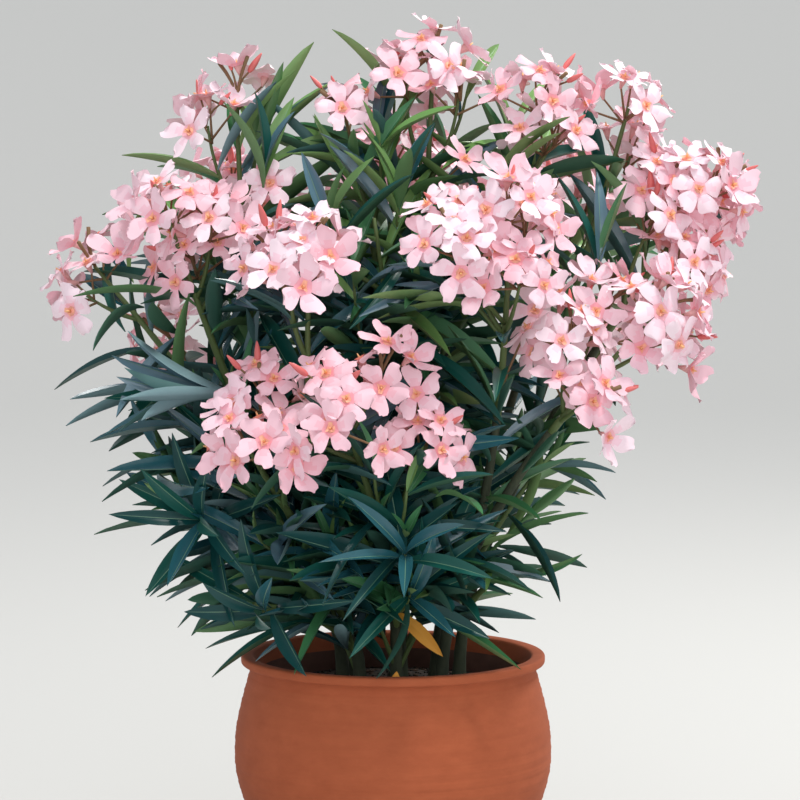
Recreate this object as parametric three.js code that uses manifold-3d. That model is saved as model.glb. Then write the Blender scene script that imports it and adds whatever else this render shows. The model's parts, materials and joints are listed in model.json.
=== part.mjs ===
// Oleander in flower, growing from several stems in a round terracotta pot.
// Millimetres, +Z up. The origin is the middle of the pot's flat underside, and the front looks along -Y.

import * as THREE from 'three';
import { mergeVertices } from 'three/addons/utils/BufferGeometryUtils.js';
import Module from 'manifold-3d';

const wasm = await Module();
wasm.setup();

const UP = new THREE.Vector3(0, 0, 1);
const TURN = 2 * Math.PI;
const GOLDEN_ANGLE = Math.PI * (3 - Math.sqrt(5));
const CLEARANCE = 0.3;

// Pot: a squat turned jar with a rolled lip
const POT_HEIGHT = 250;
const BASE_RADIUS = 102;
const LOW_WALL = { radius: 150.5, height: 106 };
const BELLY = { radius: 158, height: 167 };
const NECK = { radius: 143.5, height: 234 };
const LIP_RADIUS = 152;
const LIP_ROUND = 4.5;
const MOUTH_RADIUS = 138;
const EDGE_ROUND = 3;
const POT_WALL = 11;
const POT_FLOOR = 14;
const POT_FACES = 40;
const WALL_ROWS = 6;
const INNER_ROWS = 3;
const LIP_ROWS = 3;

// Soil: fills the pot to two fingers' breadth under the lip, flat where the stems stand
const SOIL_LEVEL = 217;
const SOIL_EDGE_DROP = 4;
const SOIL_FLAT_RADIUS = 84;

// Wood: radii along each kind of limb
const STEM_RADII = { start: 8.6, end: 6.2, flare: 6 };
const BOUGH_RADII = { start: 5.4, end: 4.2, flare: 0 };
const SHOOT_RADII = { start: 4.4, end: 3, flare: 0 };
const TWIG_RADII = { start: 2.9, end: 2, flare: -1.5 };
const FLARE_LENGTH_SHARE = 0.05;
const FLARE_ROWS_POWER = 1.7;
const STEM_FACES = { round: 6, steps: 5 };
const BOUGH_FACES = { round: 5, steps: 4 };
const SHOOT_FACES = { round: 3, steps: 5 };
const TWIG_FACES = { round: 3, steps: 2 };
const STALK_FACES = { round: 3, steps: 1 };

// Ways of the shoots: how far they hold the stem's heading, and how much of it a side shoot has
const BEND_SHARE = 0.45;
const SIDE_SHOOT_TURN = 0.5;
const TWIG_BEND_ASIDE = 0.4;

// Twigs: where along the shoot they leave it, how far they spread, and how far past the shoot's tip
// they end, each from its least value and the most that a draw adds
const FLOWERING_TWIG = { leave: 0.42, leaveDraw: 0.25, spread: 1, past: -14, pastDraw: 16 };
const LEAFY_TWIG = { leave: 0.18, leaveDraw: 0.4, spread: 1.35, past: -85, pastDraw: 34 };
const LOWEST_LEAVING = 0.08;
const LEAST_ROUND = 3;

// Leaves: lance-shaped, in whorls of three
const LEAF_LENGTH = 132;
const LEAF_WIDTH = 28;
const LEAF_THICKNESS = 2.4;
const LEAF_WIDEST = 0.45;
const LEAF_SINK = 1.4;
const LEAF_LENGTH_DRAW = { least: 0.82, more: 0.3 };
const LEAF_LENGTH_TRIES = [1, 0.82, 0.66];
const LEAF_FREE_FROM = 0.12;
const LEAVES_IN_WHORL = 3;
const WHORL_STEP = 20;
const WHORL_EVERY = 2;
const FIRST_WHORL = 0.4;
const WHORLS_UNDER_HEAD = 4;
const WHORL_TURN_DRAW = 0.5;
const TIP_WHORLS = 3;
const LEAF_SLOPE = { low: 66, tip: 36, draw: 18 };
const TIP_LEAF_SHORTER = 0.22;
const LEAFLESS_SHARE = { shoot: 0.05, twig: 0.25 };
const DROOP = { flowering: 0.12, leafy: 0.3 };

// Flowers: five petals on a funnel, in domed heads at the tips
const FLOWER_RADIUS = 26;
const NOTCH_RADIUS = 14;
const PETALS = 5;
const THROAT_DEPTH = 2;
const FLOWER_BACK = 10;
const STALK_RADII = { start: 1, end: 1.5, flare: 0 };
const STALK_STEP = 5;
const STALK_OFFSET = 3.4;
const HEAD_RADIUS = 42;
const HEAD_RADIUS_DRAW = { least: 0.85, more: 0.3 };
const HEAD_SWEEP = THREE.MathUtils.degToRad(96);
const FACE_TOWARDS = { heading: 0.25, outward: 0.35 };

// Space: what leaves and flowers keep from the pot, from their neighbours and from each other, and how
// much nearer to the next shoot than to its own a leaf may come
const POT_MARGIN = 6;
const NEIGHBOUR_MARGIN = 1;
const SIBLING_MARGIN = 7;
const FUSED_MARGIN = 0.5;
const LEAST_EDGE = 0.02;
const SPACE_OVERREACH = 40;
const LEAF_SAMPLE_ROWS = 9;

// Crown: how far its leaves reach from the middle at each height
const CROWN_OUTLINE = [
  { height: 236, radius: 200 },
  { height: 400, radius: 318 },
  { height: 590, radius: 362 },
  { height: 740, radius: 362 },
  { height: 840, radius: 300 },
  { height: 905, radius: 110 },
];

// Stems: where each foot stands on the soil, and where the stem forks
const STEMS = [
  { name: 'left', foot: [-50, 2], fork: [-104, -4, 385] },
  { name: 'front_left', foot: [-32, -38], fork: [-70, -84, 352] },
  { name: 'front', foot: [4, -54], fork: [0, -104, 345] },
  { name: 'front_right', foot: [48, -34], fork: [84, -76, 372] },
  { name: 'right', foot: [66, 8], fork: [112, 6, 400] },
  { name: 'middle', foot: [8, -6], fork: [16, -6, 430] },
  { name: 'back_left', foot: [-38, 40], fork: [-78, 86, 380] },
  { name: 'back', foot: [4, 54], fork: [2, 104, 370] },
  { name: 'back_right', foot: [44, 44], fork: [80, 86, 380] },
];

// Shoots: the stem each springs from, how far along it, where the main tip ends, how many flowering
// tips it carries, how wide and high they spread, how far the last one ends under the first, what share
// of a turn the first twig stands round, how many flowers each tip has, how many leafy twigs stand
// beside them, and what share of the way is bare bough
const SHOOTS = [
  { name: 'far_left', stem: 'left', along: 1, at: [-315, -20, 663],
    tips: 2, wide: 12, high: 29, deep: 0, turn: 0.75, flowers: 3, leafy: 1, bare: 0.42 },
  { name: 'top_left', stem: 'left', along: 0.84, at: [-154, 10, 838],
    tips: 2, wide: 14, high: 30, deep: 24, turn: 0.76, flowers: 3, leafy: 2, bare: 0.42 },
  { name: 'left_high', stem: 'left', along: 0.93, at: [-229, -84, 726],
    tips: 3, wide: 14, high: 55, deep: 64, turn: 0.14, flowers: 4, leafy: 1, bare: 0.4 },
  { name: 'left_sweep', stem: 'left', along: 0.6, at: [-208, -52, 500],
    tips: 1, wide: 44, high: 30, deep: 0, turn: 0.5, flowers: 0, leafy: 2, bare: 0 },
  { name: 'front_left_high', stem: 'front_left', along: 0.8, at: [-76, -160, 695],
    tips: 3, wide: 60, high: 16, deep: 14, turn: 0.39, flowers: 4, leafy: 1, bare: 0.4 },
  { name: 'front_low_left', stem: 'front_left', along: 1, at: [-155, -196, 507],
    tips: 3, wide: 65, high: 70, deep: 0, turn: 0.94, flowers: 3, leafy: 1, bare: 0.35 },
  { name: 'left_rosette', stem: 'front_left', along: 0.56, at: [-198, -74, 408],
    tips: 1, wide: 40, high: 24, deep: 0, turn: 0.3, flowers: 0, leafy: 2, bare: 0 },
  { name: 'low_left', stem: 'front_left', along: 0.3, at: [-136, -108, 316],
    tips: 1, wide: 44, high: 20, deep: 0, turn: 0.6, flowers: 0, leafy: 2, bare: 0 },
  { name: 'front_low', stem: 'front', along: 0.86, at: [-63, -226, 553],
    tips: 3, wide: 70, high: 70, deep: 0, turn: 0.79, flowers: 4, leafy: 1, bare: 0.35 },
  { name: 'front_low_right', stem: 'front', along: 1, at: [46, -210, 507],
    tips: 1, wide: 28, high: 20, deep: 0, turn: 0.72, flowers: 4, leafy: 2, bare: 0 },
  { name: 'front_rosette', stem: 'front', along: 0.5, at: [12, -168, 388],
    tips: 1, wide: 44, high: 20, deep: 0, turn: 0.1, flowers: 0, leafy: 2, bare: 0 },
  { name: 'right_low', stem: 'front_right', along: 1, at: [282, -140, 630],
    tips: 5, wide: 40, high: 62, deep: 100, turn: 0.96, flowers: 3, leafy: 1, bare: 0.45 },
  { name: 'front_high', stem: 'front_right', along: 0.88, at: [109, -180, 734],
    tips: 5, wide: 70, high: 34, deep: 48, turn: 0.14, flowers: 3, leafy: 1, bare: 0.42 },
  { name: 'right_spray', stem: 'front_right', along: 0.55, at: [146, -60, 446],
    tips: 1, wide: 36, high: 26, deep: 0, turn: 0.4, flowers: 0, leafy: 1, bare: 0 },
  { name: 'far_right', stem: 'right', along: 1, at: [334, -36, 740],
    tips: 5, wide: 32, high: 50, deep: 68, turn: 0, flowers: 3, leafy: 1, bare: 0.48 },
  { name: 'top_right', stem: 'right', along: 0.86, at: [241, 0, 826],
    tips: 2, wide: 16, high: 16, deep: 44, turn: 0.86, flowers: 4, leafy: 1, bare: 0.46 },
  { name: 'low_right', stem: 'right', along: 0.42, at: [130, -28, 340],
    tips: 1, wide: 34, high: 20, deep: 0, turn: 0.2, flowers: 0, leafy: 1, bare: 0 },
  { name: 'top_middle', stem: 'middle', along: 1, at: [41, 0, 874],
    tips: 3, wide: 20, high: 37, deep: 40, turn: 0.38, flowers: 3, leafy: 2, bare: 0.4 },
  { name: 'top_inner_right', stem: 'middle', along: 0.9, at: [160, -30, 833],
    tips: 2, wide: 16, high: 26, deep: 34, turn: 0.75, flowers: 3, leafy: 2, bare: 0.42 },
  { name: 'top_inner_left', stem: 'middle', along: 0.8, at: [-54, -18, 815],
    tips: 1, wide: 34, high: 20, deep: 0, turn: 0.9, flowers: 2, leafy: 3, bare: 0.42 },
  { name: 'middle', stem: 'middle', along: 0.62, at: [-18, -96, 690],
    tips: 1, wide: 40, high: 24, deep: 0, turn: 0.35, flowers: 0, leafy: 3, bare: 0 },
  { name: 'back_left_high', stem: 'back_left', along: 1, at: [-182, 172, 742],
    tips: 3, wide: 40, high: 26, deep: 30, turn: 0.2, flowers: 2, leafy: 2, bare: 0.42 },
  { name: 'back_left_middle', stem: 'back_left', along: 0.84, at: [-252, 120, 580],
    tips: 2, wide: 28, high: 24, deep: 20, turn: 0.7, flowers: 2, leafy: 2, bare: 0.38 },
  { name: 'back_left_low', stem: 'back_left', along: 0.5, at: [-158, 104, 396],
    tips: 1, wide: 40, high: 24, deep: 0, turn: 0.1, flowers: 0, leafy: 1, bare: 0 },
  { name: 'back_low', stem: 'back', along: 0.5, at: [-12, 184, 384],
    tips: 1, wide: 44, high: 24, deep: 0, turn: 0.8, flowers: 0, leafy: 2, bare: 0 },
  { name: 'back_middle', stem: 'back', along: 1, at: [12, 252, 580],
    tips: 3, wide: 42, high: 26, deep: 30, turn: 0.1, flowers: 2, leafy: 2, bare: 0.38 },
  { name: 'back_high', stem: 'back', along: 0.84, at: [0, 184, 774],
    tips: 3, wide: 40, high: 24, deep: 30, turn: 0.6, flowers: 2, leafy: 2, bare: 0.42 },
  { name: 'back_right_high', stem: 'back_right', along: 1, at: [184, 170, 748],
    tips: 3, wide: 40, high: 26, deep: 30, turn: 0.3, flowers: 2, leafy: 2, bare: 0.42 },
  { name: 'back_right_middle', stem: 'back_right', along: 0.84, at: [250, 116, 584],
    tips: 2, wide: 30, high: 24, deep: 20, turn: 0.2, flowers: 2, leafy: 2, bare: 0.38 },
  { name: 'back_right_low', stem: 'back_right', along: 0.5, at: [150, 100, 394],
    tips: 1, wide: 40, high: 24, deep: 0, turn: 0.65, flowers: 0, leafy: 1, bare: 0 },
];

const terracotta = new THREE.MeshStandardMaterial({ color: 0xb5643d, roughness: 0.86, metalness: 0 });
const compost = new THREE.MeshStandardMaterial({ color: 0x2e241d, roughness: 1, metalness: 0 });
const bark = new THREE.MeshStandardMaterial({ color: 0x6d6450, roughness: 0.9, metalness: 0 });
const foliage = new THREE.MeshStandardMaterial({ color: 0x2d4a3b, roughness: 0.5, metalness: 0 });

// Draws: an even spread of numbers from 0 to 1 that is the same each time for one seed
function seededDraws(seed) {
  let state = (seed * 7919 + 12345) % 2147483647;
  return function draw() {
    state = (state * 48271) % 2147483647;
    return state / 2147483647;
  };
}

function vector(numbers) {
  return new THREE.Vector3(...numbers);
}

// Solids
function solidFrom(geometry) {
  const bare = geometry.clone();
  bare.deleteAttribute('normal');
  bare.deleteAttribute('uv');
  const welded = mergeVertices(bare, 1e-4);
  const corners = welded.index.array;
  const kept = [];
  for (let i = 0; i < corners.length; i += 3) {
    const [a, b, c] = [corners[i], corners[i + 1], corners[i + 2]];
    if (a !== b && b !== c && c !== a) kept.push(a, b, c);
  }
  const vertProperties = new Float32Array(welded.attributes.position.array);
  const triVerts = new Uint32Array(kept);
  return new wasm.Manifold(new wasm.Mesh({ numProp: 3, vertProperties, triVerts }));
}

function geometryFrom(solid) {
  const mesh = solid.getMesh();
  const geometry = new THREE.BufferGeometry();
  geometry.setAttribute('position', new THREE.BufferAttribute(new Float32Array(mesh.vertProperties), 3));
  geometry.setIndex(new THREE.BufferAttribute(new Uint32Array(mesh.triVerts), 1));
  return geometry;
}

function hasSlivers(solid) {
  const { vertProperties, triVerts } = solid.getMesh();
  const corner = (i) => new THREE.Vector3().fromArray(vertProperties, 3 * triVerts[i]);
  for (let i = 0; i < triVerts.length; i += 3) {
    const [a, b, c] = [corner(i), corner(i + 1), corner(i + 2)];
    if (Math.min(a.distanceTo(b), b.distanceTo(c), c.distanceTo(a)) < LEAST_EDGE) return true;
  }
  return false;
}

// The one large body of a cut or fused solid: sealed hollows are filled and loose scraps dropped
function mainBody(solid) {
  const bodies = solid.decompose();
  bodies.sort((a, b) => b.volume() - a.volume());
  return bodies[0];
}

function namedMesh(name, geometry, material) {
  const shaded = geometry.toNonIndexed();
  shaded.computeVertexNormals();
  const mesh = new THREE.Mesh(shaded, material);
  mesh.name = name;
  return mesh;
}

// Pot and soil
function outerWall() {
  const wall = new THREE.SplineCurve([
    new THREE.Vector2(BASE_RADIUS, EDGE_ROUND),
    new THREE.Vector2(LOW_WALL.radius, LOW_WALL.height),
    new THREE.Vector2(BELLY.radius, BELLY.height),
    new THREE.Vector2(NECK.radius, NECK.height),
  ]);
  return wall.getPoints(WALL_ROWS);
}

function radiusAtHeight(wall, height) {
  const above = wall.findIndex((point) => point.y >= height);
  const [low, high] = [wall[above - 1], wall[above]];
  return THREE.MathUtils.mapLinear(height, low.y, high.y, low.x, high.x);
}

// The wall's inner face, from the pot's floor up to its neck
function innerWall(clearance) {
  const outside = outerWall();
  const inside = [];
  for (let row = 0; row <= INNER_ROWS; row += 1) {
    const height = THREE.MathUtils.lerp(POT_FLOOR, NECK.height, row / INNER_ROWS);
    inside.push(new THREE.Vector2(radiusAtHeight(outside, height) - POT_WALL - clearance, height));
  }
  return inside;
}

function lipRound() {
  const round = new THREE.EllipseCurve(
    LIP_RADIUS - LIP_ROUND, POT_HEIGHT - LIP_ROUND, LIP_ROUND, LIP_ROUND, -Math.PI / 2, Math.PI / 2);
  return round.getPoints(LIP_ROWS);
}

function turned(profile) {
  const geometry = new THREE.LatheGeometry(profile, POT_FACES);
  geometry.rotateX(Math.PI / 2);
  return geometry;
}

function makePot() {
  return turned([
    new THREE.Vector2(0, 0),
    new THREE.Vector2(BASE_RADIUS - EDGE_ROUND, 0),
    ...outerWall(),
    ...lipRound(),
    new THREE.Vector2(MOUTH_RADIUS + EDGE_ROUND, POT_HEIGHT),
    new THREE.Vector2(MOUTH_RADIUS, POT_HEIGHT - EDGE_ROUND),
    ...innerWall(0).reverse(),
    new THREE.Vector2(0, POT_FLOOR),
  ]);
}

function makeSoil() {
  const inside = innerWall(2 * CLEARANCE);
  const [underside, edgeLevel] = [POT_FLOOR + CLEARANCE, SOIL_LEVEL - SOIL_EDGE_DROP];
  return turned([
    new THREE.Vector2(0, underside),
    new THREE.Vector2(radiusAtHeight(inside, underside), underside),
    ...inside.filter((point) => point.y > underside && point.y < edgeLevel),
    new THREE.Vector2(radiusAtHeight(inside, edgeLevel), edgeLevel),
    new THREE.Vector2(SOIL_FLAT_RADIUS, SOIL_LEVEL),
    new THREE.Vector2(0, SOIL_LEVEL),
  ]);
}

// Limbs: a cylinder bent along a curve that lies in one plane, and tapered
function curvePlane(curve) {
  const toBend = curve.v1.clone().sub(curve.v0);
  const toEnd = curve.v2.clone().sub(curve.v0);
  const across = toBend.cross(toEnd);
  if (across.length() < 1e-3) across.set(-toEnd.y, toEnd.x, 0);
  return across.normalize();
}

function radiusAlong(radii, share) {
  const flare = radii.flare * Math.exp(-share / FLARE_LENGTH_SHARE);
  return THREE.MathUtils.lerp(radii.start, radii.end, share) + flare;
}

function limbGeometry(curve, radii, faces, extra = 0) {
  const geometry = new THREE.CylinderGeometry(1, 1, 1, faces.round, faces.steps);
  const across = curvePlane(curve);
  const position = geometry.attributes.position;
  for (let i = 0; i < position.count; i += 1) {
    const rows = Math.round((position.getY(i) + 0.5) * faces.steps) / faces.steps;
    const share = radii.flare > 0 ? rows ** FLARE_ROWS_POWER : rows;
    const side = curve.getTangent(share).cross(across);
    const radius = radiusAlong(radii, share) + extra;
    const point = curve.getPoint(share);
    point.addScaledVector(side, position.getX(i) * radius);
    point.addScaledVector(across, position.getZ(i) * radius);
    position.setXYZ(i, point.x, point.y, point.z);
  }
  return geometry;
}

// The middle of a limb at a share of its length, on the straight stretch between two rows of corners
function middleOfLimb(curve, faces, share) {
  const row = Math.min(Math.floor(share * faces.steps), faces.steps - 1);
  const low = curve.getPoint(row / faces.steps);
  const high = curve.getPoint((row + 1) / faces.steps);
  return low.lerp(high, share * faces.steps - row);
}

function makeLimb(name, curve, radii, faces, limbs) {
  let solid = solidFrom(limbGeometry(curve, radii, faces));
  for (const limb of limbs) solid = solid.subtract(limb.sleeve);
  const sleeve = solidFrom(limbGeometry(curve, radii, faces, CLEARANCE));
  return { name, sleeve, solid: mainBody(solid) };
}

function stemCurve(stem) {
  const [x, y] = stem.foot;
  const foot = new THREE.Vector3(x, y, SOIL_LEVEL + CLEARANCE);
  const fork = vector(stem.fork);
  const bend = new THREE.Vector3(x, y, THREE.MathUtils.lerp(foot.z, fork.z, 0.5));
  return new THREE.QuadraticBezierCurve3(foot, bend, fork);
}

// The way from a stem to a shoot's main tip, which starts along the stem and bends to the tip
function shootCurve(stem, shoot) {
  const start = stem.getPoint(shoot.along);
  const tip = vector(shoot.at);
  const heading = stem.getTangent(shoot.along);
  const span = start.distanceTo(tip);
  if (shoot.along < 1) heading.lerp(tip.clone().sub(start).normalize(), SIDE_SHOOT_TURN).normalize();
  else start.addScaledVector(heading, CLEARANCE);
  const bend = start.clone().addScaledVector(heading, BEND_SHARE * span);
  return new THREE.QuadraticBezierCurve3(start, bend, tip);
}

function partOfCurve(curve, from, to) {
  const start = curve.getPoint(from);
  const end = curve.getPoint(to);
  const bend = start.clone().addScaledVector(headingAt(curve, from), (to - from) / 2);
  return new THREE.QuadraticBezierCurve3(start, bend, end);
}

// The curve's rate of travel, whose half over a stretch reaches that stretch's own bend
function headingAt(curve, share) {
  const first = curve.v1.clone().sub(curve.v0);
  const second = curve.v2.clone().sub(curve.v1);
  return first.lerp(second, share).multiplyScalar(2);
}

// The directions at a curve's end: along it, level across it, and at right angles to both
function tipFrame(curve) {
  const tip = curve.getPoint(1);
  const heading = curve.getTangent(1);
  const outward = new THREE.Vector3(tip.x, tip.y, 0).normalize();
  const level = UP.clone().cross(outward);
  const rise = heading.clone().cross(level).normalize();
  return { tip, heading, outward, level, rise };
}

// Twigs: some end in flowers and some are leafy, set evenly round the main tip
function growTwigs(shoot, seed) {
  const draw = seededDraws(seed);
  const { tip, heading, level, rise } = tipFrame(shoot.curve);
  const count = shoot.tips - 1 + shoot.leafy;
  const round = Math.max(count, LEAST_ROUND);
  const stride = shoot.tips > 2 ? 1 : 2;
  const length = shoot.curve.getLength();
  const twigs = [];
  for (let k = 0; k < count; k += 1) {
    const flowering = k < shoot.tips - 1;
    const kind = flowering ? FLOWERING_TWIG : LEAFY_TWIG;
    const angle = TURN * (shoot.turn + (k * stride % round) / round);
    const lower = flowering ? shoot.deep * (k + 1) / (shoot.tips - 1) : 0;
    const leaving = Math.max(LOWEST_LEAVING, kind.leave + kind.leaveDraw * draw() - lower / length);
    const start = middleOfLimb(shoot.curve, SHOOT_FACES, leaving);
    const end = tip.clone().addScaledVector(heading, kind.past + kind.pastDraw * draw() - lower);
    end.addScaledVector(level, Math.cos(angle) * shoot.wide * kind.spread);
    end.addScaledVector(rise, Math.sin(angle) * shoot.high * kind.spread);
    const way = end.clone().sub(start).normalize();
    const aside = way.clone().projectOnPlane(shoot.curve.getTangent(leaving)).normalize();
    way.addScaledVector(aside, TWIG_BEND_ASIDE).normalize();
    const bend = start.clone().addScaledVector(way, start.distanceTo(end) / 2);
    twigs.push({ curve: new THREE.QuadraticBezierCurve3(start, bend, end), flowering });
  }
  return twigs;
}

// Leaves: whorls counted down from the tip, more upright and shorter towards it. Under a flower head
// they start some whorls lower.
function growLeaves(curve, faces, seed, droop, leafless, first) {
  const length = curve.getLength();
  const across = curvePlane(curve);
  const whorls = Math.floor(length * (1 - leafless) / WHORL_STEP);
  const leaves = [];
  for (let w = first; w < whorls; w += WHORL_EVERY) {
    const draw = seededDraws(seed * 100 + w);
    const share = 1 - (w + FIRST_WHORL) * WHORL_STEP / length;
    const root = middleOfLimb(curve, faces, share);
    const heading = curve.getTangent(share);
    const side = across.clone().cross(heading);
    const tipwards = Math.exp((first - w) / TIP_WHORLS);
    for (let j = 0; j < LEAVES_IN_WHORL; j += 1) {
      const angle = TURN * (j / LEAVES_IN_WHORL + w / 6) + WHORL_TURN_DRAW * (draw() - 0.5);
      const degrees = THREE.MathUtils.lerp(LEAF_SLOPE.low, LEAF_SLOPE.tip, tipwards);
      const slope = THREE.MathUtils.degToRad(degrees + LEAF_SLOPE.draw * (draw() - 0.5));
      const size = LEAF_LENGTH_DRAW.least + LEAF_LENGTH_DRAW.more * draw();
      const out = side.clone().multiplyScalar(Math.cos(angle)).addScaledVector(across, Math.sin(angle));
      const way = heading.clone().multiplyScalar(Math.cos(slope)).addScaledVector(out, Math.sin(slope));
      way.addScaledVector(UP, -droop).normalize();
      const face = heading.clone().addScaledVector(way, -heading.dot(way)).normalize();
      leaves.push({ root, way, face, length: LEAF_LENGTH * size * (1 - TIP_LEAF_SHORTER * tipwards) });
    }
  }
  return leaves;
}

// A leaf's solid: a blade folded along its midrib, begun at a share of its length or sunk in the twig
function leafGeometry(leaf, extra = 0, from = 0) {
  const side = leaf.face.clone().cross(leaf.way);
  const onLeaf = (along, across, above) => {
    const point = leaf.root.clone().addScaledVector(leaf.way, along);
    return point.addScaledVector(side, across).addScaledVector(leaf.face, above);
  };
  const widest = LEAF_WIDEST * leaf.length;
  const half = LEAF_WIDTH / 2 + 2 * extra;
  const root = onLeaf(from > 0 ? from * leaf.length : -LEAF_SINK, 0, -extra);
  const tip = onLeaf(leaf.length + extra, 0, -extra);
  const left = onLeaf(widest, half, LEAF_THICKNESS + 2 * extra);
  const right = onLeaf(widest, -half, LEAF_THICKNESS + 2 * extra);
  return movedCorners(new THREE.TetrahedronGeometry(1), [root, tip, right, left]);
}

// Puts each distinct corner of a geometry, in the order met, at the next of the given places
function movedCorners(geometry, places) {
  const position = geometry.attributes.position;
  const met = [];
  for (let i = 0; i < position.count; i += 1) {
    const corner = new THREE.Vector3().fromBufferAttribute(position, i);
    let order = met.findIndex((other) => other.distanceTo(corner) < 0.1);
    if (order < 0) order = met.push(corner) - 1;
    position.setXYZ(i, ...places[order].toArray());
  }
  return geometry;
}

// Flowers: one ends the twig, and the others stand on stalks in a dome under it
function growFlowers(curve, faces, seed, count) {
  const draw = seededDraws(seed * 100 + 77);
  const length = curve.getLength();
  const { tip, heading, outward, level, rise } = tipFrame(curve);
  const middle = tip.clone().addScaledVector(heading, -HEAD_RADIUS);
  const phase = TURN * draw();
  const flowers = [];
  for (let k = 0; k < count; k += 1) {
    const polar = Math.acos(1 - (1 - Math.cos(HEAD_SWEEP)) * k / count);
    const angle = phase + GOLDEN_ANGLE * k;
    const way = heading.clone().multiplyScalar(Math.cos(polar));
    way.addScaledVector(level, Math.sin(polar) * Math.cos(angle));
    way.addScaledVector(rise, Math.sin(polar) * Math.sin(angle));
    const size = k === 0 ? 1 : HEAD_RADIUS_DRAW.least + HEAD_RADIUS_DRAW.more * draw();
    const centre = middle.clone().addScaledVector(way, HEAD_RADIUS * size);
    const face = way.addScaledVector(heading, FACE_TOWARDS.heading);
    face.addScaledVector(outward, FACE_TOWARDS.outward).normalize();
    if (k === 0) {
      centre.addScaledVector(level, STALK_OFFSET).addScaledVector(face, (THROAT_DEPTH + FLOWER_BACK) / 2);
    }
    const root = middleOfLimb(curve, faces, 1 - (HEAD_RADIUS + STALK_STEP * k) / length);
    flowers.push({ root, centre, face, turn: TURN * draw(), stalked: k > 0 });
  }
  return flowers;
}

function flowerGeometry(flower, extra = 0) {
  const corners = 2 * PETALS;
  const geometry = new THREE.ConeGeometry(1, 1, corners, 1);
  const level = Math.abs(flower.face.z) < 0.9 ? UP.clone() : new THREE.Vector3(1, 0, 0);
  const side = level.cross(flower.face).normalize();
  const rise = flower.face.clone().cross(side);
  const position = geometry.attributes.position;
  for (let i = 0; i < position.count; i += 1) {
    const [x, y, z] = [position.getX(i), position.getY(i), position.getZ(i)];
    const point = flower.centre.clone();
    if (y > 0.25) {
      point.addScaledVector(flower.face, -FLOWER_BACK - extra);
    } else if (Math.hypot(x, z) < 0.5) {
      point.addScaledVector(flower.face, 2 * extra - THROAT_DEPTH);
    } else {
      const corner = Math.round(Math.atan2(x, z) / TURN * corners + corners) % corners;
      const radius = (corner % 2 === 0 ? FLOWER_RADIUS : NOTCH_RADIUS) + 2 * extra;
      const angle = flower.turn - TURN * corner / corners;
      point.addScaledVector(side, Math.cos(angle) * radius);
      point.addScaledVector(rise, Math.sin(angle) * radius);
    }
    position.setXYZ(i, point.x, point.y, point.z);
  }
  return geometry;
}

function stalkGeometry(flower) {
  const aside = flower.centre.clone().sub(flower.root).projectOnPlane(flower.face);
  const end = flower.centre.clone().addScaledVector(aside.normalize(), -STALK_OFFSET);
  end.addScaledVector(flower.face, -(THROAT_DEPTH + FLOWER_BACK) / 2);
  const bend = flower.root.clone().lerp(end, 0.5);
  return limbGeometry(new THREE.QuadraticBezierCurve3(flower.root, bend, end), STALK_RADII, STALK_FACES);
}

// Space: what a leaf, flower or twig keeps clear of
function segmentsOf(curve, count) {
  const points = curve.getPoints(count);
  return points.slice(1).map((point, i) => new THREE.Line3(points[i], point));
}

function distanceTo(segments, point) {
  const nearest = new THREE.Vector3();
  const distances = segments.map((segment) => {
    segment.closestPointToPoint(point, true, nearest);
    return nearest.distanceTo(point);
  });
  return Math.min(...distances);
}

function insideCrown(point) {
  const above = CROWN_OUTLINE.findIndex((ring) => ring.height >= point.z);
  if (above < 1) return false;
  const [low, high] = [CROWN_OUTLINE[above - 1], CROWN_OUTLINE[above]];
  const radius = THREE.MathUtils.mapLinear(point.z, low.height, high.height, low.radius, high.radius);
  return Math.hypot(point.x, point.y) < radius;
}

function clearOfPot(point) {
  const radius = Math.hypot(point.x, point.y);
  if (point.z > POT_HEIGHT + POT_MARGIN || radius > BELLY.radius + POT_MARGIN) return true;
  return point.z > SOIL_LEVEL + POT_MARGIN && radius < MOUTH_RADIUS - POT_MARGIN;
}

function inOwnSpace(point, own, shoots) {
  const reach = distanceTo(own.skeleton, point) - SPACE_OVERREACH;
  return shoots.every((other) => other === own || distanceTo(other.skeleton, point) > reach);
}

function leafSamples(leaf) {
  const side = leaf.way.clone().cross(leaf.face);
  const samples = [];
  for (let row = 2; row <= LEAF_SAMPLE_ROWS; row += 1) {
    const share = row / LEAF_SAMPLE_ROWS;
    const wide = share < LEAF_WIDEST ? share / LEAF_WIDEST : (1 - share) / (1 - LEAF_WIDEST);
    for (const edge of [-1, 0, 1]) {
      const point = leaf.root.clone().addScaledVector(leaf.way, share * leaf.length);
      samples.push(point.addScaledVector(side, edge * wide * LEAF_WIDTH / 2));
    }
  }
  return samples;
}

function flowerSamples(flower) {
  const position = flowerGeometry(flower).attributes.position;
  const samples = [flower.root.clone().lerp(flower.centre, 0.5)];
  for (let i = 0; i < position.count; i += 1) {
    const corner = new THREE.Vector3().fromBufferAttribute(position, i);
    for (const inwards of [0, 0.4, 0.75]) samples.push(corner.clone().lerp(flower.centre, inwards));
  }
  return samples;
}

function crosses(guard, solids) {
  return solids.some((solid) => !guard.intersect(solid).isEmpty());
}

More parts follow.
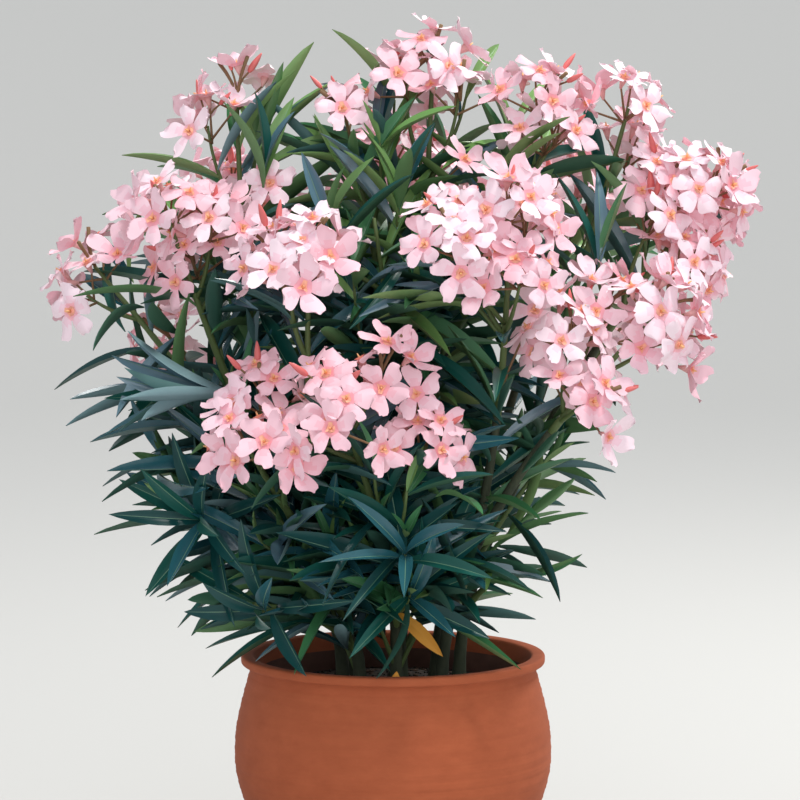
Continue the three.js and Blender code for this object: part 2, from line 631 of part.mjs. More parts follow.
// A thing that grows has samples of its surface, the pieces it is fused from, guards that must miss
// all other limbs and shoots, and a free part that must miss its own shoot too. It is left out where
// fusing it on would leave slivers.
function keepIfClear(shoot, thing, shoots, limbs) {
  const inPlace = (point) => clearOfPot(point) && insideCrown(point) && inOwnSpace(point, shoot, shoots);
  if (!thing.samples.every(inPlace)) return false;
  const apart = (point) => shoot.filled.every((other) => point.distanceTo(other) > SIBLING_MARGIN);
  if (!thing.samples.every(apart)) return false;
  const others = shoots.filter((other) => other !== shoot);
  const blockers = [...limbs, ...others].map((other) => other.solid);
  if (thing.guards.some((guard) => crosses(solidFrom(guard), blockers))) return false;
  if (thing.free && crosses(solidFrom(thing.free), [shoot.solid])) return false;
  const grown = thing.pieces.reduce((solid, piece) => solid.add(solidFrom(piece)), shoot.solid);
  if (hasSlivers(grown)) return false;
  shoot.solid = grown;
  shoot.filled.push(...thing.samples);
  return true;
}

function twigThing(twig) {
  return {
    samples: twig.curve.getPoints(4).slice(1),
    pieces: [limbGeometry(twig.curve, TWIG_RADII, TWIG_FACES)],
    guards: [limbGeometry(twig.curve, TWIG_RADII, TWIG_FACES, NEIGHBOUR_MARGIN)],
  };
}

function flowerThing(flower) {
  const stalk = stalkGeometry(flower);
  return {
    samples: flowerSamples(flower),
    pieces: flower.stalked ? [flowerGeometry(flower), stalk] : [flowerGeometry(flower)],
    guards: [flowerGeometry(flower, NEIGHBOUR_MARGIN), stalk],
    free: flower.stalked ? flowerGeometry(flower, FUSED_MARGIN) : null,
  };
}

function leafThing(leaf) {
  return {
    samples: leafSamples(leaf),
    pieces: [leafGeometry(leaf)],
    guards: [leafGeometry(leaf, NEIGHBOUR_MARGIN)],
    free: leafGeometry(leaf, FUSED_MARGIN, LEAF_FREE_FROM),
  };
}

// Assembly
const plant = new THREE.Group();
plant.add(namedMesh('pot', makePot(), terracotta));
plant.add(namedMesh('soil', makeSoil(), compost));

const limbs = [];
const stemCurves = new Map();
for (const stem of STEMS) {
  const curve = stemCurve(stem);
  stemCurves.set(stem.name, curve);
  limbs.push(makeLimb(`stem_${stem.name}`, curve, STEM_RADII, STEM_FACES, []));
}

const shoots = [];
for (const shoot of SHOOTS) {
  const way = shootCurve(stemCurves.get(shoot.stem), shoot);
  const start = shoot.bare > 0 ? shoot.bare + CLEARANCE / way.getLength() : 0;
  const curve = partOfCurve(way, start, 1);
  const solid = solidFrom(limbGeometry(curve, SHOOT_RADII, SHOOT_FACES));
  shoots.push({ ...shoot, curve, solid, skeleton: segmentsOf(curve, 8), filled: [] });
  if (shoot.bare === 0) continue;
  const bough = partOfCurve(way, 0, shoot.bare);
  limbs.push(makeLimb(`bough_${shoot.name}`, bough, BOUGH_RADII, BOUGH_FACES, limbs));
}
for (const limb of limbs) plant.add(namedMesh(limb.name, geometryFrom(limb.solid), bark));

shoots.forEach((shoot, index) => {
  const twigs = growTwigs(shoot, index + 1);
  shoot.twigs = twigs.filter((twig) => keepIfClear(shoot, twigThing(twig), shoots, limbs));
});
for (const shoot of shoots) {
  for (const twig of shoot.twigs) shoot.skeleton.push(...segmentsOf(twig.curve, 6));
  shoot.filled = [];
}

shoots.forEach((shoot, index) => {
  const seed = (index + 1) * 10;
  const droop = shoot.flowers > 0 ? DROOP.flowering : DROOP.leafy;
  const flowers = growFlowers(shoot.curve, SHOOT_FACES, seed, shoot.flowers);
  const first = shoot.flowers > 0 ? WHORLS_UNDER_HEAD : 0;
  shoot.leaves = growLeaves(shoot.curve, SHOOT_FACES, seed, droop, LEAFLESS_SHARE.shoot, first);
  shoot.twigs.forEach((twig, k) => {
    const twigSeed = seed + k + 1;
    const start = twig.flowering ? WHORLS_UNDER_HEAD : 0;
    shoot.leaves.push(...growLeaves(twig.curve, TWIG_FACES, twigSeed, droop, LEAFLESS_SHARE.twig, start));
    if (twig.flowering) flowers.push(...growFlowers(twig.curve, TWIG_FACES, twigSeed, shoot.flowers));
  });
  for (const flower of flowers) keepIfClear(shoot, flowerThing(flower), shoots, limbs);
});

// The shoots take turns, one leaf at a time, and a leaf that finds no room is tried again shorter
const mostLeaves = Math.max(...shoots.map((shoot) => shoot.leaves.length));
for (let turn = 0; turn < mostLeaves; turn += 1) {
  for (const shoot of shoots.filter((other) => other.leaves.length > turn)) {
    const leaf = shoot.leaves[turn];
    LEAF_LENGTH_TRIES.some((share) => {
      const shorter = { ...leaf, length: share * leaf.length };
      return keepIfClear(shoot, leafThing(shorter), shoots, limbs);
    });
  }
}

for (const shoot of shoots) {
  let solid = shoot.solid;
  for (const limb of limbs) solid = solid.subtract(limb.sleeve);
  plant.add(namedMesh(`mass_${shoot.name}`, geometryFrom(mainBody(solid)), foliage));
}

export default plant;
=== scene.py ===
# %% [markdown]
# # A potted oleander in flower
# The solids give the plant's frame: stems, boughs and masses of foliage over a clay pot. This notebook
# grows the fine plant on that frame by the same seeded rule, with real leaves, flowers and bark.

import json
import math
from collections import namedtuple

import bmesh
import bpy
import numpy as np
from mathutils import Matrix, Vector, noise

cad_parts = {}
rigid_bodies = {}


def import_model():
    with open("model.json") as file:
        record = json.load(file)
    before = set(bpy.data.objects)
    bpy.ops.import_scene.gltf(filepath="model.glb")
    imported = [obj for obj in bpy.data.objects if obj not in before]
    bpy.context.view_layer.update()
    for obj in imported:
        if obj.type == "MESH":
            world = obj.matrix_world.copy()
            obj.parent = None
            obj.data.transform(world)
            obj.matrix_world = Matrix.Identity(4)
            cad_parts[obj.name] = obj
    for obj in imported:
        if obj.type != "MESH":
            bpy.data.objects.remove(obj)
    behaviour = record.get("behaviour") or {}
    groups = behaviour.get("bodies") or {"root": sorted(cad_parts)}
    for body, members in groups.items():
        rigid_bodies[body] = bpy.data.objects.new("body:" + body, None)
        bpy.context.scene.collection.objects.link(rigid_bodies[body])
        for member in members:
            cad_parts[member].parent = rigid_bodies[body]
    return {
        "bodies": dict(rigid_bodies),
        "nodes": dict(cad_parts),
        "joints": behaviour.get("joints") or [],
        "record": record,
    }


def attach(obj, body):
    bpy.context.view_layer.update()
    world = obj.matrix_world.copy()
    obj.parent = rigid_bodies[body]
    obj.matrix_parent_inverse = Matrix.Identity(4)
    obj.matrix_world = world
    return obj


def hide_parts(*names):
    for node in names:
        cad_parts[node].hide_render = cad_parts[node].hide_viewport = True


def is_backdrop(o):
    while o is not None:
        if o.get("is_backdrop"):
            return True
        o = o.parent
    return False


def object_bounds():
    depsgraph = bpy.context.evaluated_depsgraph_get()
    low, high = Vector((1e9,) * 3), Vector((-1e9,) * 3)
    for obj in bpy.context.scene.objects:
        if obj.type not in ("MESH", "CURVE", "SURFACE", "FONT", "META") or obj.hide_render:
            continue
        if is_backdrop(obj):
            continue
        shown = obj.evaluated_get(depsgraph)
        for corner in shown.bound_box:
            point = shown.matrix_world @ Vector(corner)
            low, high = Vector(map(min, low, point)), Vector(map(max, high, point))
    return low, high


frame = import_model()
CAD_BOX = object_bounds()
print("CAD nodes:", len(frame["nodes"]))

# %% [markdown]
# All sizes are in millimetres, as in the solids' own plan, and turn into metres only when a mesh is made.
# +Z is up, the origin is the middle of the pot's underside, and the front looks along -Y.

# %% Units
MM = 0.001
TURN = 2 * math.pi
UP = np.array([0.0, 0.0, 1.0])
CROWN_BOX = np.array([list(corner) for corner in CAD_BOX]) / MM
print("solids, in mm:", CROWN_BOX.round().tolist())

# %% [markdown]
# The camera stands where the photograph's stood: nearly four metres off and a little above the plant,
# with a long lens, so that near and far leaves keep almost the same scale.

# %% Camera
LENS = 180
SENSOR = 36
CAMERA_PLACE = (0.007, -3.9561, 0.895)
LOOKS_DOWN = 5.64

camera = bpy.data.objects.new("camera", bpy.data.cameras.new("camera"))
camera.data.lens = LENS
camera.data.sensor_width = SENSOR
camera.location = CAMERA_PLACE
camera.rotation_euler = (math.radians(90 - LOOKS_DOWN), 0, 0)
bpy.context.collection.objects.link(camera)
bpy.context.scene.camera = camera
print("camera lens:", camera.data.lens)

# %% [markdown]
# The floor is a strip that curves up into a wall behind the plant, so that no edge shows. Its side is
# drawn as a row of edges, and one extrusion across makes the whole sheet. The sizes of the setting are in
# metres.

# %% Floor
FLOOR_WIDTH = 60
FLOOR_FRONT = -20
FLOOR_BACK = 5
SWEEP_RADIUS = 6
SWEEP_STEPS = 24
WALL_TOP = 16


def plain_material(name, color, roughness, **sockets):
    material = bpy.data.materials.new(name)
    material.use_nodes = True
    shader = material.node_tree.nodes["Principled BSDF"]
    shader.inputs["Base Color"].default_value = (*color, 1)
    shader.inputs["Roughness"].default_value = roughness
    for socket, value in sockets.items():
        shader.inputs[socket.replace("_", " ")].default_value = value
    return material


def drawn_line(bm, points):
    """A row of vertices in the bmesh, and the edges that join them."""
    corners = [bm.verts.new(point) for point in points]
    return corners, [bm.edges.new(pair) for pair in zip(corners, corners[1:])]


def mesh_from(bm, name):
    """The bmesh as a smooth mesh whose faces point outwards."""
    bmesh.ops.recalc_face_normals(bm, faces=bm.faces)
    for face in bm.faces:
        face.smooth = True
    mesh = bpy.data.meshes.new(name)
    bm.to_mesh(mesh)
    bm.free()
    return mesh


side = [(FLOOR_FRONT, 0.0), (FLOOR_BACK, 0.0)]
for k in range(1, SWEEP_STEPS + 1):
    angle = math.pi / 2 * k / SWEEP_STEPS
    side.append((FLOOR_BACK + SWEEP_RADIUS * math.sin(angle), SWEEP_RADIUS * (1 - math.cos(angle))))
side.append((FLOOR_BACK + SWEEP_RADIUS, WALL_TOP))
bm = bmesh.new()
_, edges = drawn_line(bm, [(-FLOOR_WIDTH / 2, y, z) for y, z in side])
made = bmesh.ops.extrude_edge_only(bm, edges=edges)
moved = [item for item in made["geom"] if isinstance(item, bmesh.types.BMVert)]
bmesh.ops.translate(bm, verts=moved, vec=(FLOOR_WIDTH, 0, 0))
floor = bpy.data.objects.new("floor", mesh_from(bm, "floor"))
bpy.context.collection.objects.link(floor)
floor.data.materials.append(plain_material("floor", (0.5, 0.5, 0.49), 0.95))
floor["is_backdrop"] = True
print("floor:", len(floor.data.polygons), "faces")

# %% [markdown]
# Plain soft studio light: a warm lamp from behind at the right, a wide lamp over the camera and a soft
# sun from above, with a pale sky all round.

# %% Lights
WARM = (1.0, 0.97, 0.92)
COOL = (0.96, 0.98, 1.0)
CROWN_MIDDLE = (0, 0, 0.5)
SKY_COLOR = (0.86, 0.92, 1.0, 1)
SKY_STRENGTH = 0.62


def lamp(name, kind, place, target, power, color):
    light = bpy.data.objects.new(name, bpy.data.lights.new(name, kind))
    light.data.energy = power
    light.data.color = color
    light.location = place
    light.rotation_euler = (Vector(target) - Vector(place)).to_track_quat("-Z", "Y").to_euler()
    bpy.context.collection.objects.link(light)
    return light.data


lamp("key", "AREA", (1.6, 1.4, 3.0), CROWN_MIDDLE, 75, WARM).size = 0.9
lamp("fill", "AREA", (0.3, -3.9, 2.2), CROWN_MIDDLE, 50, COOL).size = 2.8
lamp("sun", "SUN", (0.8, -0.6, 3.0), (0, 0, 0), 2.0, WARM).angle = math.radians(14)
world = bpy.data.worlds.new("world")
world.use_nodes = True
sky = world.node_tree.nodes["Background"]
sky.inputs["Color"].default_value = SKY_COLOR
sky.inputs["Strength"].default_value = SKY_STRENGTH
bpy.context.scene.world = world
bpy.context.scene.view_settings.view_transform = "Standard"
print("lights:", len(bpy.data.lights))

# %% [markdown]
# The pot is one outline spun round its axis: a flat foot, a wall that swells to a belly and draws in to a
# neck, a rolled lip, and the hollow inside. The wall's line is a smooth curve through four points, and
# shallow rings left by the potter's fingers run round it.

# %% The pot's outline
POT_HEIGHT = 250
BASE_RADIUS = 102
LOW_WALL = (150.5, 106)
BELLY = (158, 167)
NECK = (143.5, 234)
COVE = ((-0.6, 3.4), (-0.2, 5.4), (1.4, 6.8))
LIP_RADIUS = 152
LIP_HEIGHT = 9
LIP_EDGE = 2.6
MOUTH_RADIUS = 138
EDGE_ROUND = 3
MOUTH_EDGE = ((EDGE_ROUND, 0.2), (0.8, 1.2), (0, EDGE_ROUND))
POT_WALL = 11
POT_FLOOR = 14
WALL_STEPS = 90
INNER_STEPS = 14
LIP_STEPS = 5

# Each set of rings: its depth, how close they stand and where they start
RINGS = ((0.22, 1.3, 0), (0.2, 0.53, 1))
RING_INSET = 0.2


def smooth_curve(points, count):
    """A smooth line through the points, by the same spline that shaped the solid wall."""
    points = np.array(points, dtype=float)
    line = []
    for t in np.linspace(0, len(points) - 1, count):
        i = min(int(t), len(points) - 2)
        w = t - i
        p1, p2 = points[i], points[i + 1]
        p0 = points[i - 1] if i > 0 else p1
        p3 = points[i + 2] if i + 2 < len(points) else p2
        v0, v1 = (p2 - p0) / 2, (p3 - p1) / 2
        cubic, square = 2 * p1 - 2 * p2 + v0 + v1, -3 * p1 + 3 * p2 - 2 * v0 - v1
        line.append(cubic * w**3 + square * w**2 + v0 * w + p1)
    return np.array(line)


def ring_mark(height):
    return sum(depth * math.sin(height * pitch + start) for depth, pitch, start in RINGS)


wall = smooth_curve([(BASE_RADIUS, EDGE_ROUND), LOW_WALL, BELLY, NECK], WALL_STEPS)
pot_profile = [(0, 0), (BASE_RADIUS - EDGE_ROUND, 0)]
pot_profile += [(r + ring_mark(z) - RING_INSET, z) for r, z in wall]
pot_profile += [(NECK[0] + out, NECK[1] + up) for out, up in COVE]
for middle, start in ((POT_HEIGHT - LIP_HEIGHT + LIP_EDGE, -math.pi / 2), (POT_HEIGHT - LIP_EDGE, 0)):
    for a in np.linspace(start, start + math.pi / 2, LIP_STEPS):
        pot_profile.append((LIP_RADIUS - LIP_EDGE + LIP_EDGE * math.cos(a), middle + LIP_EDGE * math.sin(a)))
pot_profile += [(MOUTH_RADIUS + out, POT_HEIGHT - down) for out, down in MOUTH_EDGE]
for z in np.linspace(NECK[1], POT_FLOOR, INNER_STEPS):
    pot_profile.append((np.interp(z, wall[:, 1], wall[:, 0]) - POT_WALL, z))
pot_profile.append((0, POT_FLOOR))
print("pot outline:", len(pot_profile), "points")

# %% [markdown]
# Fired clay is never quite even. The spun mesh gets bumps of a third of a millimetre, and the colour
# wanders between two close tones, with a fine grain as relief. Inside, the wall is painted dark: painted
# shade in the pot's hollow.

# %% Pot
POT_STEPS = 128

# Hand marks: how close they stand, and their depth in metres
HAND_MARKS = 14
HAND_MARK_DEPTH = 0.0003

PATTERN_ROUGHNESS = 0.65
RAMP_ENDS = (0.32, 0.68)
RELIEF_DISTANCE = 0.002
# Where the painted shade inside the pot reaches: past the mouth, and above the neck
INSIDE_MARGIN = 8
PAINTED_SHADE_ABOVE_NECK = 2


def spun(profile, steps):
    bm = bmesh.new()
    corners, edges = drawn_line(bm, [(r * MM, 0, z * MM) for r, z in profile])
    bmesh.ops.spin(bm, geom=corners + edges, cent=(0, 0, 0), axis=(0, 0, 1), angle=TURN,
                   steps=steps, use_merge=True)
    bmesh.ops.remove_doubles(bm, verts=bm.verts, dist=1e-6)
    return bm


def noise_material(name, dark, light, scale, roughness, bump, detail=6, stretch=(1, 1, 1)):
    """A colour that wanders between two tones, and a fine relief that goes with it."""
    material = plain_material(name, light, roughness)
    nodes, links = material.node_tree.nodes, material.node_tree.links
    shader = nodes["Principled BSDF"]
    where = nodes.new("ShaderNodeTexCoord")
    mapping = nodes.new("ShaderNodeMapping")
    mapping.inputs["Scale"].default_value = stretch
    links.new(where.outputs["Object"], mapping.inputs["Vector"])
    pattern = nodes.new("ShaderNodeTexNoise")
    for socket, value in (("Scale", scale), ("Detail", detail), ("Roughness", PATTERN_ROUGHNESS)):
        pattern.inputs[socket].default_value = value
    links.new(mapping.outputs["Vector"], pattern.inputs["Vector"])
    ramp = nodes.new("ShaderNodeValToRGB")
    for element, position, tone in zip(ramp.color_ramp.elements, RAMP_ENDS, (dark, light)):
        element.position = position
        element.color = (*tone, 1)
    links.new(pattern.outputs["Fac"], ramp.inputs["Fac"])
    links.new(ramp.outputs["Color"], shader.inputs["Base Color"])
    relief = nodes.new("ShaderNodeBump")
    relief.inputs["Strength"].default_value = bump
    relief.inputs["Distance"].default_value = RELIEF_DISTANCE
    links.new(pattern.outputs["Fac"], relief.inputs["Height"])
    links.new(relief.outputs["Normal"], shader.inputs["Normal"])
    return material


def finished(name, mesh, materials, nodes=()):
    """A piece of the plant: it rides on the root, and stands for the solids that it replaces."""
    for material in materials:
        mesh.materials.append(material)
    piece = bpy.data.objects.new(name, mesh)
    bpy.context.collection.objects.link(piece)
    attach(piece, "root")
    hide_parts(*nodes)
    count = sum(len(face.vertices) - 2 for face in mesh.polygons)
    print(name, "has", count, "triangles")


bm = spun(pot_profile, POT_STEPS)
for vert in bm.verts:
    spot = noise.noise(vert.co * HAND_MARKS)
    vert.co += Vector((vert.co.x, vert.co.y, 0)).normalized() * spot * HAND_MARK_DEPTH
pot_mesh = mesh_from(bm, "clay_pot")
# The inner wall's faces, from the floor to just above the neck, get the dark clay of painted shade.
for face in pot_mesh.polygons:
    near = face.center.xy.length < (MOUTH_RADIUS + INSIDE_MARGIN) * MM
    low = POT_FLOOR * MM < face.center.z < (NECK[1] + PAINTED_SHADE_ABOVE_NECK) * MM
    face.material_index = 1 if near and low and face.normal.xy.dot(face.center.xy) < 0 else 0
clay = noise_material("clay", (0.385, 0.083, 0.026), (0.45, 0.103, 0.035), scale=34, roughness=0.84,
                      bump=0.16, detail=12, stretch=(1, 1, 1.8))
painted_shade_clay = noise_material("painted_shade_clay", (0.10, 0.045, 0.032), (0.17, 0.075, 0.052), scale=30,
                           roughness=0.9, bump=0.1)
finished("clay_pot", pot_mesh, [clay, painted_shade_clay], ["pot"])

# %% [markdown]
# The compost is a disc that falls away a little towards the wall. Its top is lifted by a fractal noise,
# which looks crumbled, and its colour is a very dark brown.

# %% Compost
SOIL_LEVEL = 217
SOIL_RADIUS = MOUTH_RADIUS - 2
SOIL_DEPTH = 40
SOIL_EDGE = 4
SOIL_FALL = 4
FALL_START = 84
FALL_WIDTH = 52
SOIL_RINGS = 34
SOIL_STEPS = 96
CLOD_SCALE = 90
CLOD_HEIGHT = 0.0022


def soil_drop(radius):
    return SOIL_FALL * np.maximum(0, (radius - FALL_START) / FALL_WIDTH)


def rough(spot):
    """Fractal noise of three octaves, for compost and bark."""
    return noise.fractal(spot, 1.0, 2.0, 3)


rings = [(0, SOIL_LEVEL - SOIL_DEPTH), (SOIL_RADIUS - SOIL_EDGE, SOIL_LEVEL - SOIL_DEPTH)]
rings.append((SOIL_RADIUS, SOIL_LEVEL - SOIL_EDGE))
rings += [(r, SOIL_LEVEL - soil_drop(r) - 0.5) for r in np.linspace(SOIL_RADIUS - 2, 0, SOIL_RINGS)]
bm = spun(rings, SOIL_STEPS)
for vert in bm.verts:
    if vert.co.z > (SOIL_LEVEL - 6) * MM and vert.co.xy.length < (SOIL_RADIUS - 3) * MM:
        vert.co.z += rough(vert.co * CLOD_SCALE) * CLOD_HEIGHT
earth = noise_material("earth", (0.012, 0.009, 0.007), (0.05, 0.035, 0.026), scale=160, roughness=0.95,
                       bump=0.8)
finished("compost", mesh_from(bm, "compost"), [earth], ["soil"])

# %% [markdown]
# Crumbs, flowers and leaves are small shapes that repeat hundreds of times. Each is modelled once in bmesh
# and turned into a template of plain arrays. The template is then copied to all its places in one joined
# mesh, which is far quicker than as many objects. A crumb is a small ball.

# %% Templates
def template_of(bm):
    """The bmesh as arrays: its points, the faces' corners, how many each has, and the faces' slots."""
    bm.verts.index_update()
    template = {
        "points": np.array([v.co[:] for v in bm.verts]),
        "loops": np.array([v.index for f in bm.faces for v in f.verts]),
        "totals": np.array([len(f.verts) for f in bm.faces]),
        "kinds": np.array([f.material_index for f in bm.faces]),
    }
    bm.free()
    return template


def placed(template, frames, slots):
    """The template once for each frame, a 3 by 4 matrix, with its kinds looked up in that row of slots."""
    count = len(frames)
    points = np.einsum("nij,vj->nvi", frames[:, :, :3], template["points"]) + frames[:, None, :, 3]
    shifts = np.arange(count)[:, None] * len(template["points"])
    return {
        "points": points.reshape(-1, 3),
        "loops": (template["loops"][None, :] + shifts).ravel(),
        "totals": np.tile(template["totals"], count),
        "kinds": slots[:, template["kinds"]].ravel(),
    }


def mesh_of(name, arrays):
    mesh = bpy.data.meshes.new(name)
    mesh.vertices.add(len(arrays["points"]))
    mesh.vertices.foreach_set("co", (arrays["points"] * MM).ravel())
    mesh.loops.add(len(arrays["loops"]))
    mesh.loops.foreach_set("vertex_index", arrays["loops"])
    mesh.polygons.add(len(arrays["totals"]))
    starts = np.cumsum(arrays["totals"]) - arrays["totals"]
    mesh.polygons.foreach_set("loop_start", starts)
    mesh.polygons.foreach_set("material_index", arrays["kinds"])
    mesh.update(calc_edges=True)
    mesh.polygons.foreach_set("use_smooth", np.full(len(starts), True))
    return mesh


bm = bmesh.new()
bmesh.ops.create_icosphere(bm, subdivisions=1, radius=1)
crumb = template_of(bm)
print("faces of a crumb:", len(crumb["totals"]))

# %% [markdown]
# Crumbs and longer chips of bark lie on the compost, each stretched and turned at one of nine hundred
# places that a seeded generator draws.

# %% Crumbs
CRUMB_COUNT = 900
CRUMB_SIZES = (0.7, 2.4)
CRUMB_RIM_GAP = 8
CHIP_SHARE = 0.3
CHIP_LONG = 2.2
CHIP_THICK = 0.5
CRUMB_WIDE = 0.9
CRUMB_THICK = 0.75
CRUMB_TILT = 0.1
CRUMB_SPIN = 7

draws = np.random.default_rng(5)
angle = draws.uniform(0, TURN, CRUMB_COUNT)
distance = np.sqrt(draws.uniform(0, 1, CRUMB_COUNT)) * (SOIL_RADIUS - CRUMB_RIM_GAP)
sizes = draws.uniform(*CRUMB_SIZES, CRUMB_COUNT)
chips = draws.uniform(0, 1, CRUMB_COUNT) < CHIP_SHARE
height = SOIL_LEVEL - soil_drop(distance) + sizes * 0.3
frames = np.zeros((CRUMB_COUNT, 3, 4))
for i, (size, chip) in enumerate(zip(sizes, chips)):
    turn = angle[i] * CRUMB_SPIN
    long = size * (CHIP_LONG if chip else 1)
    frames[i, :, 0] = np.array([math.cos(turn), math.sin(turn), CRUMB_TILT]) * long
    frames[i, :, 1] = np.array([-math.sin(turn), math.cos(turn), 0]) * size * CRUMB_WIDE
    frames[i, :, 2] = UP * size * (CHIP_THICK if chip else CRUMB_THICK)
frames[:, :, 3] = np.stack([distance * np.cos(angle), distance * np.sin(angle), height], axis=1)
crumbs = placed(crumb, frames, np.where(chips, 1, 0)[:, None])
crumb_materials = [plain_material("crumb_dark", (0.02, 0.014, 0.01), 0.95),
                   plain_material("crumb_bark", (0.075, 0.04, 0.022), 0.9)]
finished("crumbs", mesh_of("crumbs", crumbs), crumb_materials)

# %% [markdown]
# Nine stems rise from the compost and lean out. Every shoot forks from a stem: the first part of some is
# a bare bough, and the rest, with its twigs, leaves and flowers, is a mass of foliage. The solids came
# from the same tables, so each limb here lies on its solid.

# %% Stems and shoots
# Each stem: where it stands on the compost, and where it ends
STEMS = {
    "left": ([-50, 2], [-104, -4, 385]),
    "front_left": ([-32, -38], [-70, -84, 352]),
    "front": ([4, -54], [0, -104, 345]),
    "front_right": ([48, -34], [84, -76, 372]),
    "right": ([66, 8], [112, 6, 400]),
    "middle": ([8, -6], [16, -6, 430]),
    "back_left": ([-38, 40], [-78, 86, 380]),
    "back": ([4, 54], [2, 104, 370]),
    "back_right": ([44, 44], [80, 86, 380]),
}

# Each shoot: its stem, how far along it starts, where its main tip ends, its flowering tips, how wide and
# how high they spread, how far the last ends under the first, what share of a turn the first stands
# round, the flowers on each tip, its leafy twigs, and the share that is bare bough
SHOOTS = {
    "far_left": ("left", 1, [-315, -20, 663], 2, 12, 29, 0, 0.75, 4, 1, 0.42),
    "top_left": ("left", 0.84, [-154, 10, 838], 2, 14, 30, 24, 0.76, 3, 2, 0.42),
    "left_high": ("left", 0.93, [-229, -84, 726], 3, 14, 55, 64, 0.14, 7, 1, 0.4),
    "left_sweep": ("left", 0.6, [-208, -52, 500], 1, 44, 30, 0, 0.5, 0, 2, 0),
    "front_left_high": ("front_left", 0.8, [-76, -160, 695], 3, 60, 16, 14, 0.39, 7, 1, 0.4),
    "front_low_left": ("front_left", 1, [-155, -196, 507], 3, 65, 70, 0, 0.94, 4, 1, 0.35),
    "left_rosette": ("front_left", 0.56, [-198, -74, 408], 1, 40, 24, 0, 0.3, 0, 2, 0),
    "low_left": ("front_left", 0.3, [-136, -108, 316], 1, 44, 20, 0, 0.6, 0, 2, 0),
    "front_low": ("front", 0.86, [-63, -226, 553], 3, 70, 70, 0, 0.79, 4, 1, 0.35),
    "front_low_right": ("front", 1, [46, -210, 507], 1, 28, 20, 0, 0.72, 6, 2, 0),
    "front_rosette": ("front", 0.5, [12, -168, 388], 1, 44, 20, 0, 0.1, 0, 2, 0),
    "right_low": ("front_right", 1, [282, -140, 630], 5, 40, 62, 100, 0.96, 6, 1, 0.45),
    "front_high": ("front_right", 0.88, [109, -180, 734], 5, 70, 34, 48, 0.14, 7, 1, 0.42),
    "right_spray": ("front_right", 0.55, [146, -60, 446], 1, 36, 26, 0, 0.4, 0, 1, 0),
    "far_right": ("right", 1, [334, -36, 740], 5, 32, 50, 68, 0, 9, 1, 0.48),
    "top_right": ("right", 0.86, [241, 0, 826], 2, 16, 16, 44, 0.86, 5, 1, 0.46),
    "low_right": ("right", 0.42, [130, -28, 340], 1, 34, 20, 0, 0.2, 0, 1, 0),
    "top_middle": ("middle", 1, [41, 0, 874], 3, 20, 37, 40, 0.38, 4, 2, 0.4),
    "top_inner_right": ("middle", 0.9, [160, -30, 833], 2, 16, 26, 34, 0.75, 5, 2, 0.42),
    "top_inner_left": ("middle", 0.8, [-54, -18, 815], 1, 34, 20, 0, 0.9, 2, 3, 0.42),
    "middle": ("middle", 0.62, [-18, -96, 690], 1, 40, 24, 0, 0.35, 0, 3, 0),
    "back_left_high": ("back_left", 1, [-182, 172, 742], 3, 40, 26, 30, 0.2, 6, 2, 0.42),
    "back_left_middle": ("back_left", 0.84, [-252, 120, 580], 2, 28, 24, 20, 0.7, 3, 2, 0.38),
    "back_left_low": ("back_left", 0.5, [-158, 104, 396], 1, 40, 24, 0, 0.1, 0, 1, 0),
    "back_low": ("back", 0.5, [-12, 184, 384], 1, 44, 24, 0, 0.8, 0, 2, 0),
    "back_middle": ("back", 1, [12, 252, 580], 3, 42, 26, 30, 0.1, 6, 2, 0.38),
    "back_high": ("back", 0.84, [0, 184, 774], 3, 40, 24, 30, 0.6, 6, 2, 0.42),
    "back_right_high": ("back_right", 1, [184, 170, 748], 3, 40, 26, 30, 0.3, 6, 2, 0.42),
    "back_right_middle": ("back_right", 0.84, [250, 116, 584], 2, 30, 24, 20, 0.2, 6, 2, 0.38),
    "back_right_low": ("back_right", 0.5, [150, 100, 394], 1, 40, 24, 0, 0.65, 0, 1, 0),
}
print("stems:", len(STEMS), "shoots:", len(SHOOTS))

# %% [markdown]
# The growing rule is the solids' own. Draws come from a short seeded formula, so the plant is the same
# each time, and every limb is a smooth curve with a start, a bend and an end.

# %% Curves and draws
CLEARANCE = 0.3
BEND_SHARE = 0.45
SIDE_SHOOT_TURN = 0.5


def seeded_draws(seed):
    state = (seed * 7919 + 12345) % 2147483647

    def draw():
        nonlocal state
        state = (state * 48271) % 2147483647
        return state / 2147483647

    return draw


def unit(vector):
    return vector / np.linalg.norm(vector)


class Curve:
    """A start, a bend that the curve leans towards, and an end. A share runs from 0 to 1 along it."""

    def __init__(self, start, bend, end):
        self.corners = [np.array(corner, dtype=float) for corner in (start, bend, end)]
        points = self.at(np.linspace(0, 1, 201))
        self.length = np.linalg.norm(np.diff(points, axis=0), axis=1).sum()

    def at(self, share):
        a, b, c = self.corners
        t = np.asarray(share, dtype=float)[..., None]
        return (1 - t) ** 2 * a + 2 * t * (1 - t) * b + t**2 * c

    def travel(self, share):
        a, b, c = self.corners
        return 2 * ((b - a) * (1 - share) + (c - b) * share)

    def heading(self, share):
        return unit(self.travel(share))

    def across(self):
        """The way that is square to the curve's plane."""
        a, b, c = self.corners
        across = np.cross(b - a, c - a)
        if np.linalg.norm(across) < 1e-3:
            across = np.array([a[1] - c[1], c[0] - a[0], 0.0])
        return unit(across)

    def part(self, start, end):
        first, last = self.at(start), self.at(end)
        return Curve(first, first + self.travel(start) * (end - start) / 2, last)

    def on_steps(self, steps, share):
        """The place on the curve as the solids have it, in a few straight steps."""
        row = min(math.floor(share * steps), steps - 1)
        low, high = self.at(row / steps), self.at((row + 1) / steps)
        return low + (high - low) * (share * steps - row)


def stem_curve(stem):
    (x, y), fork = stem
    foot = np.array([x, y, SOIL_LEVEL + CLEARANCE])
    return Curve(foot, [x, y, (foot[2] + fork[2]) / 2], fork)


